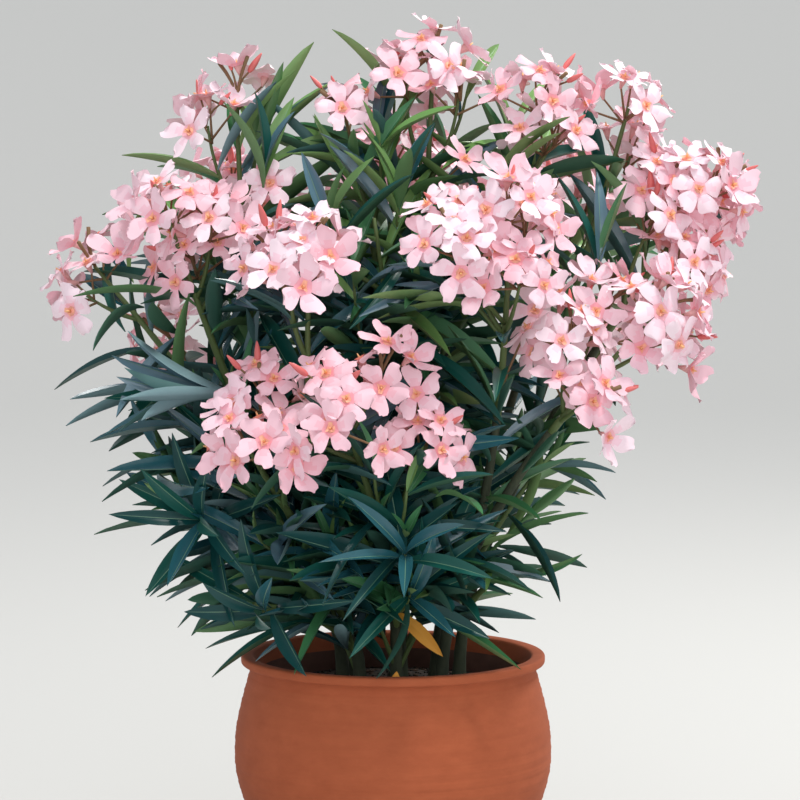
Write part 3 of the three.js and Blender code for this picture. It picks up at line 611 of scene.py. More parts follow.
def shoot_curve(stem, along, tip):
    start, tip = stem.at(along), np.array(tip, dtype=float)
    heading = stem.heading(along)
    span = np.linalg.norm(tip - start)
    if along < 1:
        heading = unit(heading + (unit(tip - start) - heading) * SIDE_SHOOT_TURN)
    else:
        start = start + heading * CLEARANCE
    return Curve(start, start + heading * BEND_SHARE * span, tip)


def round_twig(side, rise, angle):
    return side * math.cos(angle) + rise * math.sin(angle)


def tip_frame(curve):
    tip, heading = curve.at(1), curve.heading(1)
    outward = unit(np.array([tip[0], tip[1], 0.0]))
    level = np.cross(UP, outward)
    return tip, heading, outward, level, unit(np.cross(heading, level))


stem_curves = {name: stem_curve(stem) for name, stem in STEMS.items()}
print("stem lengths:", [round(curve.length) for curve in stem_curves.values()])

# %% [markdown]
# Twigs leave a shoot all round it. Flowering twigs end level with the main tip, and leafy ones end short
# of it and reach wider. Finer twigs fill the spray inside the same reach, most of them low at the front
# and left, where the plant is densest.

# %% Twigs
SHOOT_STEPS = 5
TWIG_STEPS = 2
TWIG_BEND_ASIDE = 0.4
LEAVES_NEAREST = 0.08

# How far along a twig leaves, how much that varies, its spread, how far it ends past the main tip, and
# how much that varies
FLOWERING_TWIG = (0.42, 0.25, 1, -14, 16)
LEAFY_TWIG = (0.18, 0.4, 1.35, -85, 34)

FINER_SPREAD = 1.15
FINER_TURN = 0.17
FINER_SEED = 500
FINER_TWIGS = {
    "left_sweep": 3, "left_rosette": 3, "low_left": 4, "front_rosette": 4, "front_low": 2, "middle": 3,
    "front_low_right": 3, "front_low_left": 2, "right_spray": 0, "low_right": 0, "back_right_low": 0,
    "right_low": 0, "top_right": 0, "far_right": 0,
}

# How far the leaves of a shoot hang
FLOWERING_DROOP = 0.12
LEAFY_DROOP = 0.3
LEVEL_SHOOTS = {"left_sweep": 0.04, "left_rosette": 0.14}


def grow_twigs(curve, tips, wide, high, deep, turn, leafy, seed):
    draw = seeded_draws(seed)
    tip, heading, _, level, rise = tip_frame(curve)
    count = tips - 1 + leafy
    steps_round = max(count, 3)
    stride = 1 if tips > 2 else 2
    twigs = []
    for k in range(count):
        flowering = k < tips - 1
        leave, leave_draw, spread, past, past_draw = FLOWERING_TWIG if flowering else LEAFY_TWIG
        angle = TURN * (turn + (k * stride % steps_round) / steps_round)
        lower = deep * (k + 1) / (tips - 1) if flowering else 0
        leaving = max(LEAVES_NEAREST, leave + leave_draw * draw() - lower / curve.length)
        start = curve.on_steps(SHOOT_STEPS, leaving)
        end = tip + heading * (past + past_draw * draw() - lower)
        end = end + level * math.cos(angle) * wide * spread + rise * math.sin(angle) * high * spread
        way = unit(end - start)
        along = curve.heading(leaving)
        aside = unit(way - along * way.dot(along))
        bend = start + unit(way + aside * TWIG_BEND_ASIDE) * np.linalg.norm(end - start) / 2
        twigs.append((Curve(start, bend, end), flowering))
    return twigs


shoots = []
for index, (name, row) in enumerate(SHOOTS.items()):
    stem, along, tip, tips, wide, high, deep, turn, flowers, leafy, bare = row
    way = shoot_curve(stem_curves[stem], along, tip)
    curve = way.part(bare + CLEARANCE / way.length if bare else 0, 1)
    finer = grow_twigs(curve, 1, wide * FINER_SPREAD, high * FINER_SPREAD, 0, turn + FINER_TURN,
                       FINER_TWIGS.get(name, 1), FINER_SEED + index)
    shoots.append({
        "name": name, "seed": (index + 1) * 10, "flowers": flowers, "curve": curve,
        "bough": way.part(0, bare) if bare else None,
        "twigs": grow_twigs(curve, tips, wide, high, deep, turn, leafy, index + 1),
        "finer": [twig for twig, _ in finer],
        "droop": FLOWERING_DROOP if flowers else LEVEL_SHOOTS.get(name, LEAFY_DROOP),
    })
shoot_curves = {shoot["name"]: shoot["curve"] for shoot in shoots}
print("twigs:", sum(len(shoot["twigs"]) + len(shoot["finer"]) for shoot in shoots))

# %% [markdown]
# Young shoots rise from the feet of the stems, and eight leafy tips stand open towards the viewer or
# upwards, as the photograph shows. Their twigs turn at the end to the way that the tip looks.

# %% Young shoots and open tips
# How many young shoots each stem has at its foot
FOOT_SHOOTS = {
    "left": 6, "front_left": 6, "front": 5, "middle": 4, "back_left": 4, "back": 2, "front_right": 1,
}
FOOT_SEED = 8000
FOOT_BEND = 8
OPEN_TIP_BEND = 45

# Each open tip: its shoot, how far along it the twig leaves, the tip's place, the way it looks, its
# leaves, how many degrees they open, and their length
OPEN_TIPS = [
    ("left_rosette", 0.5, [-186, -108, 398], [-0.4, -0.9, 0.15], 13, 84, 112),
    ("front_rosette", 0.6, [12, -188, 375], [0.05, -0.8, 0.6], 12, 84, 130),
    ("left_sweep", 0.7, [-170, -110, 522], [-0.95, -0.3, 0.06], 11, 34, 146),
    ("low_left", 0.6, [-126, -132, 312], [-0.5, -0.8, -0.05], 9, 80, 104),
    ("top_inner_left", 0.3, [6, -70, 702], [0.05, -0.3, 1.0], 11, 52, 118),
    ("middle", 0.8, [-61, -95, 680], [-0.25, -0.35, 1.0], 9, 56, 112),
    ("top_left", 0.35, [-126, -40, 726], [0.1, -0.25, 1.0], 6, 28, 112),
    ("far_right", 0.2, [200, -88, 650], [0.12, -0.15, 1.0], 10, 36, 116),
]


def foot_shoots(stem, index, count):
    """Short young shoots from the lower part of a stem, which lean out round it."""
    curves = []
    for k in range(count):
        draw = seeded_draws(FOOT_SEED + 10 * index + k)
        start = stem.at(0.06 + 0.6 * (k + draw()) / count)
        turn = math.atan2(start[1], start[0]) + 3 * (draw() - 0.5)
        reach = 0.4 + 0.8 * draw()
        way = unit(np.array([math.cos(turn) * reach, math.sin(turn) * reach, 1.0]))
        end = start + way * (55 + 55 * draw())
        curves.append(Curve(start, (start + end) / 2 + UP * FOOT_BEND, end))
    return curves


def open_tip(name, along, place, looks):
    start = shoot_curves[name].on_steps(SHOOT_STEPS, along)
    return Curve(start, np.array(place) - unit(np.array(looks)) * OPEN_TIP_BEND, place)


low_shoots = {}
for k, (name, count) in enumerate(FOOT_SHOOTS.items()):
    low_shoots[name] = foot_shoots(stem_curves[name], k, count)
open_tips = [open_tip(*row[:4]) for row in OPEN_TIPS]
print("young shoots:", sum(FOOT_SHOOTS.values()), "open tips:", len(open_tips))

# %% [markdown]
# Limbs are round tubes, bent along their curves. A cone without taper, cut into rows, is the template.
# Stems and boughs get bark relief in the mesh itself, and stems flare at the foot. Shoots and twigs are
# smooth, and swell a little at each whorl of leaves.

# %% Stems and boughs
# Radius at the start and at the end, and the flare at the foot
STEM_RADII = (6.4, 5, 4)
BOUGH_RADII = (4.8, 4.1, 0)
FLARE_LENGTH_SHARE = 0.05
FOOT_CROWDING = 1.7
BARK_LUMP = 26
BARK_GRAIN = 7
STEM_RELIEF = 0.55
BOUGH_RELIEF = 0.3

WHORL_STEP = 20
FIRST_WHORL = 0.4
WHORL_SWELL = 0.16
WHORL_SHARPNESS = 6


def merged(templates):
    """Several templates joined into one."""
    joined = {key: np.concatenate([t[key] for t in templates]) for key in ("points", "totals", "kinds")}
    offsets = np.cumsum([0] + [len(t["points"]) for t in templates[:-1]])
    joined["loops"] = np.concatenate([t["loops"] + o for t, o in zip(templates, offsets)])
    return joined


def tube_template(sides, rows):
    bm = bmesh.new()
    bmesh.ops.create_cone(bm, cap_ends=True, segments=sides, radius1=1, radius2=1, depth=1)
    along = [edge for edge in bm.edges if abs(edge.verts[0].co.z - edge.verts[1].co.z) > 0.5]
    bmesh.ops.subdivide_edges(bm, edges=along, cuts=rows - 1, use_grid_fill=True)
    return template_of(bm)


def bent_tube(template, curve, radii, relief=0, seed=0):
    """The tube along a curve, with bark of that relief, or smooth and jointed where it is 0."""
    start, end, flare = radii
    across = curve.across()
    points = []
    for x, y, z in template["points"]:
        share = min(max(z + 0.5, 0), 1)
        if flare > 0:
            share = share**FOOT_CROWDING
        side = np.cross(curve.heading(share), across)
        angle = math.atan2(y, x)
        cosine, sine = math.cos(angle), math.sin(angle)
        radius = start + (end - start) * share + flare * math.exp(-share / FLARE_LENGTH_SHARE)
        if relief:
            far = share * curve.length
            radius += relief * rough(Vector((cosine * 1.3, sine * 1.3, far / BARK_LUMP + seed)))
            radius += relief * 0.5 * noise.noise(Vector((cosine * 3, sine * 3, far / BARK_GRAIN)))
        else:
            whorl = (1 - share) * curve.length / WHORL_STEP - FIRST_WHORL
            radius *= 1 + WHORL_SWELL * math.exp(-((whorl - round(whorl)) * WHORL_SHARPNESS) ** 2)
        points.append(curve.at(share) + (side * cosine + across * sine) * radius * math.hypot(x, y))
    return {**template, "points": np.array(points)}


stem_tube = tube_template(14, 40)
bough_tube = tube_template(12, 24)
limb_parts = []
for i, curve in enumerate(stem_curves.values()):
    limb_parts.append(bent_tube(stem_tube, curve, STEM_RADII, STEM_RELIEF, i * 5.0))
for i, shoot in enumerate(shoots):
    if shoot["bough"]:
        limb_parts.append(bent_tube(bough_tube, shoot["bough"], BOUGH_RADII, BOUGH_RELIEF, i * 3.0))
# The bark's two grey-green tones wander at random, and both are kept very dark: painted shade, for stems
# that stand in shade inside the plant.
bark = noise_material("bark", (0.028, 0.036, 0.020), (0.068, 0.082, 0.044), scale=60, roughness=0.85,
                      bump=0.5, stretch=(1, 1, 0.35))
limb_nodes = [f"stem_{name}" for name in STEMS]
limb_nodes += [f"bough_{shoot['name']}" for shoot in shoots if shoot["bough"]]
finished("stems_and_boughs", mesh_of("stems_and_boughs", merged(limb_parts)), [bark], limb_nodes)

# %% [markdown]
# Leaves and flowers keep clear of the pot and the limbs, and stay inside the plant's outline. Each test
# takes all sample points of a leaf at once.

# %% Room for leaves and flowers
# The crown's outline: heights, and how far from the axis it reaches there
CROWN_OUTLINE = [(236, 200), (400, 318), (590, 362), (740, 362), (840, 300), (905, 110)]
HEADS_START = 600
REACH_AMONG_HEADS = 0.93
CROWN_MARGIN = 4
BOX_MARGIN = 6
POT_GAP = 4
SOIL_GAP = 5
HANGS_PAST_LIP = -90
LIMB_GAP = 8
OPEN_RIGHT = 218
OPEN_RIGHT_TOP = 610

limb_curves = list(stem_curves.values()) + [shoot["bough"] for shoot in shoots if shoot["bough"]]
limb_points = np.concatenate([curve.at(np.linspace(0, 1, 25)) for curve in limb_curves])
outline_heights, outline_radii = zip(*CROWN_OUTLINE)


def clear_of_pot(points):
    """Above the lip, inside the mouth, or hanging past the lip on the left, where the plant is densest."""
    radius = np.hypot(points[:, 0], points[:, 1])
    outside = (radius > BELLY[0] + POT_GAP) & (points[:, 0] < HANGS_PAST_LIP)
    outside |= points[:, 2] > POT_HEIGHT + POT_GAP
    inside = (points[:, 2] > SOIL_LEVEL + SOIL_GAP) & (radius < MOUTH_RADIUS - SOIL_GAP)
    return bool((outside | inside).all())


def inside_crown(points):
    x, y, z = points.T
    limit = np.interp(z, outline_heights, outline_radii, left=0, right=0)
    limit *= np.where(z > HEADS_START, REACH_AMONG_HEADS, 1)
    in_outline = np.hypot(x, y) < limit + CROWN_MARGIN
    in_box = ((points > CROWN_BOX[0] - BOX_MARGIN) & (points < CROWN_BOX[1] + BOX_MARGIN)).all(axis=1)
    not_low_right = (x < OPEN_RIGHT) | (z > OPEN_RIGHT_TOP)
    return bool((in_outline & in_box & not_low_right).all())


def reach_of(point):
    """How near a point below the flower heads is to the crown's outline: 1 is on it."""
    limit = np.interp(point[2], outline_heights, outline_radii)
    return math.hypot(point[0], point[1]) / limit if point[2] < HEADS_START else 0


def clear_of_limbs(points):
    distances = np.linalg.norm(points[:, None, :] - limb_points[None, :, :], axis=2)
    return bool(distances.min() > LIMB_GAP)


print("limb samples:", len(limb_points))

# %% [markdown]
# A leaf is a lance-shaped blade, folded a little along a pale midrib and arched from root to tip. Two
# grids are bent to that shape, one for its dark face and one for its paler underside. Four forms are made,
# and each leaf of the plant is one of them, stretched to its own length.

# %% Leaf forms
LEAF_ROWS = 10
UPPER, MIDRIB, UNDER = 0, 1, 2

# Where the long edges of the upper face run, from one margin to the other. The midrib is the middle strip
COLUMNS = (-1, -0.55, -0.045, 0.045, 0.55, 1)
UPPER_STRIPS = len(COLUMNS) - 1
UNDER_STRIPS = 2
BLADE_WIDEST = 0.95
BLADE_FULLNESS = 0.78
STALK_WIDTH = 0.09
STALK_END = 0.12
BLADE_THICKNESS = 0.006
FOLD_HEIGHT = 0.08
TWIST_HEIGHT = 0.16


def blade_width(share):
    blade = math.sin(math.pi * share**BLADE_WIDEST) ** BLADE_FULLNESS if 0 < share < 1 else 0
    return max(blade, STALK_WIDTH * (share < STALK_END))


def leaf_form(arch, fold, sway, twist, curl):
    """A leaf of length 1 and width 1 along X, with how much it arches, folds, sways, twists and curls."""
    bm = bmesh.new()
    for strips in (UPPER_STRIPS, UNDER_STRIPS):
        bmesh.ops.create_grid(bm, x_segments=LEAF_ROWS, y_segments=strips, size=0.5)
    bm.verts.index_update()
    bm.faces.index_update()
    for vert in bm.verts:
        share = vert.co.x + 0.5
        if vert.index < (LEAF_ROWS + 1) * (UPPER_STRIPS + 1):
            v = COLUMNS[round((vert.co.y + 0.5) * UPPER_STRIPS)]
            lift = 0.0
        else:
            v = 2 * vert.co.y
            lift = -BLADE_THICKNESS * (1 - abs(v))
        wide = blade_width(share)
        bent = share ** (1 + curl)
        y = v * wide / 2
        z = arch * 4 * bent * (1 - bent) + lift + fold * abs(v) * wide * FOLD_HEIGHT
        angle = twist * share
        vert.co = Vector((share, y * math.cos(angle), z))
        vert.co.z += y * math.sin(angle) * TWIST_HEIGHT
        vert.co.y += sway * math.sin(math.pi * share)
    for face in bm.faces:
        strip = face.index // LEAF_ROWS
        face.material_index = UNDER if strip >= UPPER_STRIPS else MIDRIB if strip == 2 else UPPER
    bmesh.ops.reverse_faces(bm, faces=[face for face in bm.faces if face.material_index == UNDER])
    return template_of(bm)


leaf_forms = [
    leaf_form(0.03, 0.9, 0.0, 0.0, 0.0),
    leaf_form(0.06, 0.7, 0.02, 0.3, -0.2),
    leaf_form(-0.01, 1.1, -0.025, -0.5, 0.1),
    leaf_form(0.09, 0.6, 0.01, 0.4, -0.3),
]
print("leaf forms:", len(leaf_forms), "faces in each:", len(leaf_forms[0]["totals"]))

# %% [markdown]
# A flower has five petals set like a pinwheel, each a bent grid that is narrow at its root, and wide and
# blunt at its end. They stand on a slim tube, whose throat is deeper pink round a star-shaped orange eye
# with a small spike. Five forms differ in how far they open and how much their edges ruffle.

# %% Flower forms
PALE, BLUSH, DEEP, EYE, TUBE, SPIKE = 0, 1, 2, 3, 4, 5
FLOWER_RADIUS = 27
THROAT = 4.0
PETALS = 5
PETAL_ROWS = (0, 0.14, 0.3, 0.46, 0.64, 0.8, 0.92, 1.0)
PETAL_STEPS = len(PETAL_ROWS) - 1
PETAL_STRIPS = 4
PETAL_ROOT = 3.2

# How deep the petals are hollowed, slanted at the end and blunted, and the ruffles of their edges
ROOT_DIP = 3
HOLLOW = 0.035
HALF_OPEN_HOLLOW = 0.4
END_SLANT = 2.2
END_BLUNT = 1.8
NOTCH = 0.9
EDGE_WAVE = 0.8

# How far out a petal is deep pink, and blush at its edges and along its middle
DEEP_END = 0.3
BLUSH_END = 0.42
BLUSH_MIDDLE_END = 0.6


def petal_half_width(share, broad):
    swell = math.sin(min(share / 0.72, 1) * math.pi / 2) ** 1.15
    end = math.sqrt(max(0.0, 1 - (max(share - 0.7, 0) / 0.315) ** 3.2))
    return (PETAL_ROOT + broad * swell) * end


def petal(number, cup, ruffle, slew, broad, draw):
    bm = bmesh.new()
    bmesh.ops.create_grid(bm, x_segments=PETAL_STEPS, y_segments=PETAL_STRIPS, size=0.5)
    tilt = 0.16 + 0.1 * draw()
    lift = 3.5 * (draw() - 0.5)
    phase = TURN * draw()
    long = FLOWER_RADIUS - THROAT + 3 * (draw() - 0.5)
    angle = TURN * number / PETALS
    cosine, sine = math.cos(angle), math.sin(angle)
    for vert in bm.verts:
        share = PETAL_ROWS[round((vert.co.x + 0.5) * PETAL_STEPS)]
        v = 2 * vert.co.y
        half = petal_half_width(share, broad)
        x = THROAT + share * long + END_SLANT * v * share**2 - END_BLUNT * (v * v) * share**3
        y = v * half + slew * share * share
        z = -ROOT_DIP * (1 - share) ** 6 + cup * share**1.4 + lift * share
        z += tilt * y * share + ruffle * share**2 * math.sin(phase + 2.6 * v + 2 * share)
        z -= HOLLOW * (v * half) ** 2 * (HALF_OPEN_HOLLOW if cup > 0 else 1)
        x += NOTCH * math.sin(5 * v + phase) * share**5
        z += EDGE_WAVE * math.sin(6 * v - phase) * share**4
        vert.co = Vector((x * cosine - y * sine, x * sine + y * cosine, z))
    bm.faces.index_update()
    for face in bm.faces:
        share = sum(vert.co.xy.length for vert in face.verts) / 4 / FLOWER_RADIUS
        middle = face.index // PETAL_STEPS in (1, 2)
        blush_end = BLUSH_MIDDLE_END if middle else BLUSH_END
        face.material_index = DEEP if share < DEEP_END else BLUSH if share < blush_end else PALE
    return template_of(bm)


def cone(sides, low, high, depth, middle, kind, capped):
    """A cone of one slot round the flower's axis, with its lower and upper radius."""
    bm = bmesh.new()
    bmesh.ops.create_cone(bm, cap_ends=capped, segments=sides, radius1=low, radius2=high, depth=depth)
    bmesh.ops.translate(bm, verts=bm.verts, vec=(0, 0, middle))
    for face in bm.faces:
        face.material_index = kind
    return bm


def flower_form(cup, ruffle, slew, broad, seed):
    """How far the flower cups, how its petals ruffle, curve and broaden, and the seed of its petals."""
    draw = seeded_draws(seed)
    parts = [petal(number, cup, ruffle, slew, broad, draw) for number in range(PETALS)]
    parts.append(template_of(cone(10, 1.5, 9, 2.4, cup * 0.1 - 2.6, DEEP, False)))
    eye = cone(2 * PETALS, 1, 1, 1, 0, EYE, False)
    for vert in eye.verts:
        angle = math.atan2(vert.co.y, vert.co.x)
        outer = vert.co.z > 0
        point = round(angle / TURN * 2 * PETALS) % 2
        radius = (6.2 if point else 3.0) if outer else 0.6
        vert.co = Vector((radius * math.cos(angle), radius * math.sin(angle), 0.6 if outer else -2.2))
    parts.append(template_of(eye))
    parts.append(template_of(cone(5, 1.5, 0.5, 6, 1.5, SPIKE, True)))
    tube = cone(9, 1.2, THROAT + 0.6, 12, -8.6, TUBE, True)
    for face in tube.faces:
        if all(vert.co.z > -4 for vert in face.verts):
            face.material_index = EYE
    parts.append(template_of(tube))
    return merged(parts)


flower_forms = [
    flower_form(2.5, 1.6, 2.4, 5.2, 3),
    flower_form(-2.5, 2.0, 2.0, 7.4, 4),
    flower_form(5.5, 1.6, 2.8, 6.2, 5),
    flower_form(0.5, 2.6, 1.6, 5.6, 6),
    flower_form(11, 2.0, 3.0, 6.8, 7),
]
print("flower forms:", len(flower_forms), "faces in each:", len(flower_forms[0]["totals"]))

# %% [markdown]
# The petals differ from flower to flower, from nearly white to rose. Each tint has three plain colours,
# which fall on faces and not on a pattern. Thin petals let light through, and a faint painted glow stands
# for it, on the eye too.

# %% Petal, bud and stalk colours
PETAL_TINTS = {
    "light": ((0.82, 0.68, 0.74), (0.82, 0.58, 0.66), (0.80, 0.42, 0.48)),
    "pink": ((0.79, 0.57, 0.64), (0.78, 0.48, 0.56), (0.77, 0.33, 0.40)),
    "rose": ((0.77, 0.49, 0.56), (0.76, 0.41, 0.48), (0.75, 0.28, 0.33)),
}
TINT_NAMES = list(PETAL_TINTS)
LIGHT_THROUGH = (1.0, 0.55, 0.58, 1)


# A plain material with a painted glow: an emission that stands for light let through, not a lamp
def petal_material(name, color, roughness, glow):
    return plain_material(name, color, roughness, Emission_Color=LIGHT_THROUGH, Emission_Strength=glow)


flower_materials = []
for name, tints in PETAL_TINTS.items():
    for part, tint in zip(("petal", "blush", "deep"), tints):
        flower_materials.append(petal_material(f"{part}_{name}", tint, 0.55, 0.13))
# The eye gets a fainter painted glow too.
flower_materials.append(petal_material("flower_eye", (0.88, 0.42, 0.27), 0.6, 0.08))
flower_materials.append(plain_material("flower_tube", (0.78, 0.42, 0.40), 0.6))
flower_materials.append(plain_material("flower_spike", (0.92, 0.50, 0.22), 0.6))
stalk_material = plain_material("stalk", (0.22, 0.13, 0.06), 0.7)
bud_material = plain_material("bud", (0.74, 0.17, 0.16), 0.5)


def flower_slots(tint):
    first = 3 * TINT_NAMES.index(tint)
    return [first, first + 1, first + 2, 9, 10, 11]


print("flower materials:", len(flower_materials))

# %% [markdown]
# Each flowering tip has a domed head of open flowers. By the solids' rule they stand in a spiral over a
# dome round the tip, turned by the golden angle from one to the next, so that they never line up. Each
# faces out from the dome, and a little along the twig and away from the plant.

# %% The rule for flower heads
GOLDEN_ANGLE = math.pi * (3 - math.sqrt(5))
HEAD_RADIUS = 42
HEAD_SWEEP = math.radians(96)
FACES_TIP = 0.25
FACES_OUT = 0.35


def grow_flowers(curve, steps, seed, count):
    draw = seeded_draws(seed * 100 + 77)
    tip, heading, outward, level, rise = tip_frame(curve)
    middle = tip - heading * HEAD_RADIUS
    phase = TURN * draw()
    flowers = []
    for k in range(count):
        polar = math.acos(1 - (1 - math.cos(HEAD_SWEEP)) * k / count)
        angle = phase + GOLDEN_ANGLE * k
        way = heading * math.cos(polar) + round_twig(level, rise, angle) * math.sin(polar)
        size = 1 if k == 0 else 0.85 + 0.3 * draw()
        centre = middle + way * HEAD_RADIUS * size
        face = unit(way + heading * FACES_TIP + outward * FACES_OUT)
        root = curve.on_steps(steps, 1 - (HEAD_RADIUS + 2 * (k % 4)) / curve.length)
        flowers.append((root, centre, face, TURN * draw()))
    return flowers


def facing_frame(centre, face, turn, size):
    level = UP if abs(face[2]) < 0.9 else np.array([1.0, 0, 0])
    side = unit(np.cross(level, face))
    rise = np.cross(face, side)
    x = round_twig(side, rise, turn)
    y = np.cross(face, x)
    return np.stack([x * size, y * size, face * size, centre], axis=1)


print("golden angle, in degrees:", round(math.degrees(GOLDEN_ANGLE), 1))

# %% [markdown]
# Among the open flowers stand slim coral buds, and a few brown stubs where flowers have dropped. A few
# single flowers stand beside the heads, and leaves show in the gaps between some of them.

# %% Where the flowers stand
# Single flowers beside the heads: the shoot, how far along it the stalk starts, the flower's middle and
# the way that it faces
SIDE_FLOWERS = [
    ("top_inner_left", 0.8, [-49, -50, 796], [0.1, -0.8, 0.45]),
    ("top_middle", 0.35, [71, -56, 747], [0.5, -0.5, 0.7]),
    ("top_left", 0.4, [-121, -40, 722], [-0.2, -0.9, 0.2]),
    ("front_high", 0.1, [136, -128, 604], [-0.3, -0.9, 0.2]),
    ("right_low", 0.2, [158, -138, 572], [-0.2, -0.95, 0.1]),
    ("right_low", 0.15, [134, -122, 562], [-0.5, -0.8, -0.1]),
    ("right_low", 0.1, [182, -142, 535], [-0.1, -0.95, -0.1]),
    ("front_low_right", 0.6, [22, -196, 530], [-0.2, -0.9, 0.3]),
]

# Gaps between the heads on the near side, where leaves show: x, z and a radius
LEAFY_GAPS = [(204, 714, 37), (208, 676, 35), (89, 763, 24), (58, 740, 28), (108, 603, 22)]
NEAR_SIDE = 60

# Heads with paler petals than the others, above 1, or pinker ones: painted light, each head's tint shifted
# to set how bright it looks, mostly paler at the top and pinker low at the front, in shade
HEAD_LIGHT_PALENESS = {
    "left_high": 1.9, "front_left_high": 1.9, "far_left": 1.6, "far_right": 1.9, "top_left": 1.6,
    "right_low": 1.4, "top_middle": 1.5, "top_inner_right": 1.7, "top_right": 4, "front_high": 0.75,
    "front_low": 0.3, "front_low_left": 0.3, "front_low_right": 0.4,
}

# How long a flower's stalk is at its end, and how far back from the tip stalks start and bend
STALK_LENGTH = 13
STALK_START = 34
STUB_BEND = 22
BUD_BEND = 20


def in_leafy_gap(centre):
    near = centre[1] < NEAR_SIDE
    return near and any(math.hypot(centre[0] - x, centre[2] - z) < reach for x, z, reach in LEAFY_GAPS)


flower_places = []
bud_places = []
stalk_curves = []
stub_curves = []


def open_head(shoot, curve, steps, seed, draw):
    """The open flowers of a head with their stalks, wherever there is room."""
    count = shoot["flowers"] + int(3 * draw())
    for root, centre, face, turn in grow_flowers(curve, steps, seed, count):
        size = 0.92 + 0.17 * draw()
        form = int(draw() * 4.7)
        tint = TINT_NAMES[int(draw() ** HEAD_LIGHT_PALENESS.get(shoot["name"], 1) * 3)]
        samples = np.array([centre, centre + face * 3, centre - face * 12])
        if clear_of_pot(samples) and clear_of_limbs(samples) and not in_leafy_gap(centre):
            flower_places.append((form, tint, facing_frame(centre, face, turn, size)))
            end = centre - face * STALK_LENGTH * size
            stalk_curves.append(Curve(root, (root + centre) / 2 - face * 6, end))


def stubs_and_buds(curve, draw):
    tip, heading, _, level, rise = tip_frame(curve)
    start = tip - heading * STALK_START
    for _ in range(int(4 * draw())):
        angle = TURN * draw()
        way = unit(heading + round_twig(level, rise, angle) * (0.3 + 0.8 * draw()))
        end = tip - heading * 24 + way * (20 + 16 * draw())
        stub_curves.append(Curve(start, tip - heading * STUB_BEND + way * 6, end))
    for _ in range(int(3 * draw())):
        angle, lean = TURN * draw(), 0.25 + 0.9 * draw()
        way = unit(heading + round_twig(level, rise, angle) * lean)
        centre = tip - heading * 26 + way * (18 + 16 * draw())
        bud_places.append(facing_frame(centre, way, 0, 0.8 + 0.6 * draw()))
        stalk_curves.append(Curve(start, tip - heading * BUD_BEND, centre))


for shoot in shoots:
    if not shoot["flowers"]:
        continue
    heads = [(shoot["curve"], SHOOT_STEPS, shoot["seed"])]
    for k, (twig, flowering) in enumerate(shoot["twigs"]):
        if flowering:
            heads.append((twig, TWIG_STEPS, shoot["seed"] + k + 1))
    for curve, steps, seed in heads:
        draw = seeded_draws(seed * 17 + 3)
        open_head(shoot, curve, steps, seed, draw)
        stubs_and_buds(curve, draw)
for name, share, centre, face in SIDE_FLOWERS:
    centre, face = np.array(centre, dtype=float), unit(np.array(face))
    draw = seeded_draws(round(centre[2]))
    # Single flowers get only the paler tints: painted light, for flowers that stand in the light.
    form, tint = int(draw() * 4), "light" if draw() < 0.5 else "pink"
    flower_places.append((form, tint, facing_frame(centre, face, TURN * draw(), 1)))
    root = shoot_curves[name].on_steps(SHOOT_STEPS, share)
    stalk_curves.append(Curve(root, (root + centre) / 2 + UP * 8, centre - face * STALK_LENGTH))
flower_centres = np.array([frame[:, 3] for _, _, frame in flower_places])
flower_faces = np.array([unit(frame[:, 2]) for _, _, frame in flower_places])
print("flowers:", len(flower_places), "buds:", len(bud_places))

# %% [markdown]
# The flowers, the buds and the stalks are three joined meshes. A bud is a small ball, drawn out to a
# slim drop.

# %% Flowers, buds and stalks
BUD_RADIUS = 2.6
BUD_TAPER = 0.45
BUD_MIDDLE = 9
BUD_HALF_LENGTH = 10
STALK_RADII = (1.4, 1.0, 0)
STUB_RADII = (1.2, 2.2, 0)
STALK_RELIEF = 0.01
STUB_RELIEF = 0.5


def placed_forms(forms, rows, slots_of):
    """Rows of a form's number, a colour's name and a frame, all joined."""
    parts = []
    for number, form in enumerate(forms):
        chosen = [row for row in rows if row[0] == number]
        if chosen:
            slots = np.array([slots_of(color) for _, color, _ in chosen])
            parts.append(placed(form, np.array([frame for _, _, frame in chosen]), slots))
    return merged(parts)


finished("flowers", mesh_of("flowers", placed_forms(flower_forms, flower_places, flower_slots)),
         flower_materials)

bm = bmesh.new()
bmesh.ops.create_uvsphere(bm, u_segments=8, v_segments=6, radius=1)
for vert in bm.verts:
    x, y, z = vert.co
    thin = BUD_RADIUS * (1 - BUD_TAPER * z)
    vert.co = Vector((x * thin, y * thin, BUD_MIDDLE + BUD_HALF_LENGTH * z))
buds = placed(template_of(bm), np.array(bud_places), np.zeros((len(bud_places), 1), dtype=int))
finished("buds", mesh_of("buds", buds), [bud_material])

stalk_tube = tube_template(5, 4)
stalk_parts = [bent_tube(stalk_tube, curve, STALK_RADII, STALK_RELIEF) for curve in stalk_curves]
stalk_parts += [bent_tube(stalk_tube, curve, STUB_RADII, STUB_RELIEF) for curve in stub_curves]
finished("flower_stalks", mesh_of("flower_stalks", merged(stalk_parts)), [stalk_material])

# %% [markdown]
# Leaves vary from dark blue-green to silver and to yellow-green at the young top. Silver is a painted sheen.
# Each green is a plain colour with a paler underside, and a share of each falls to every part of the
# plant: dark low down, as painted shade, bluer at the left, and lighter in the open right and at the top, as
# painted light.

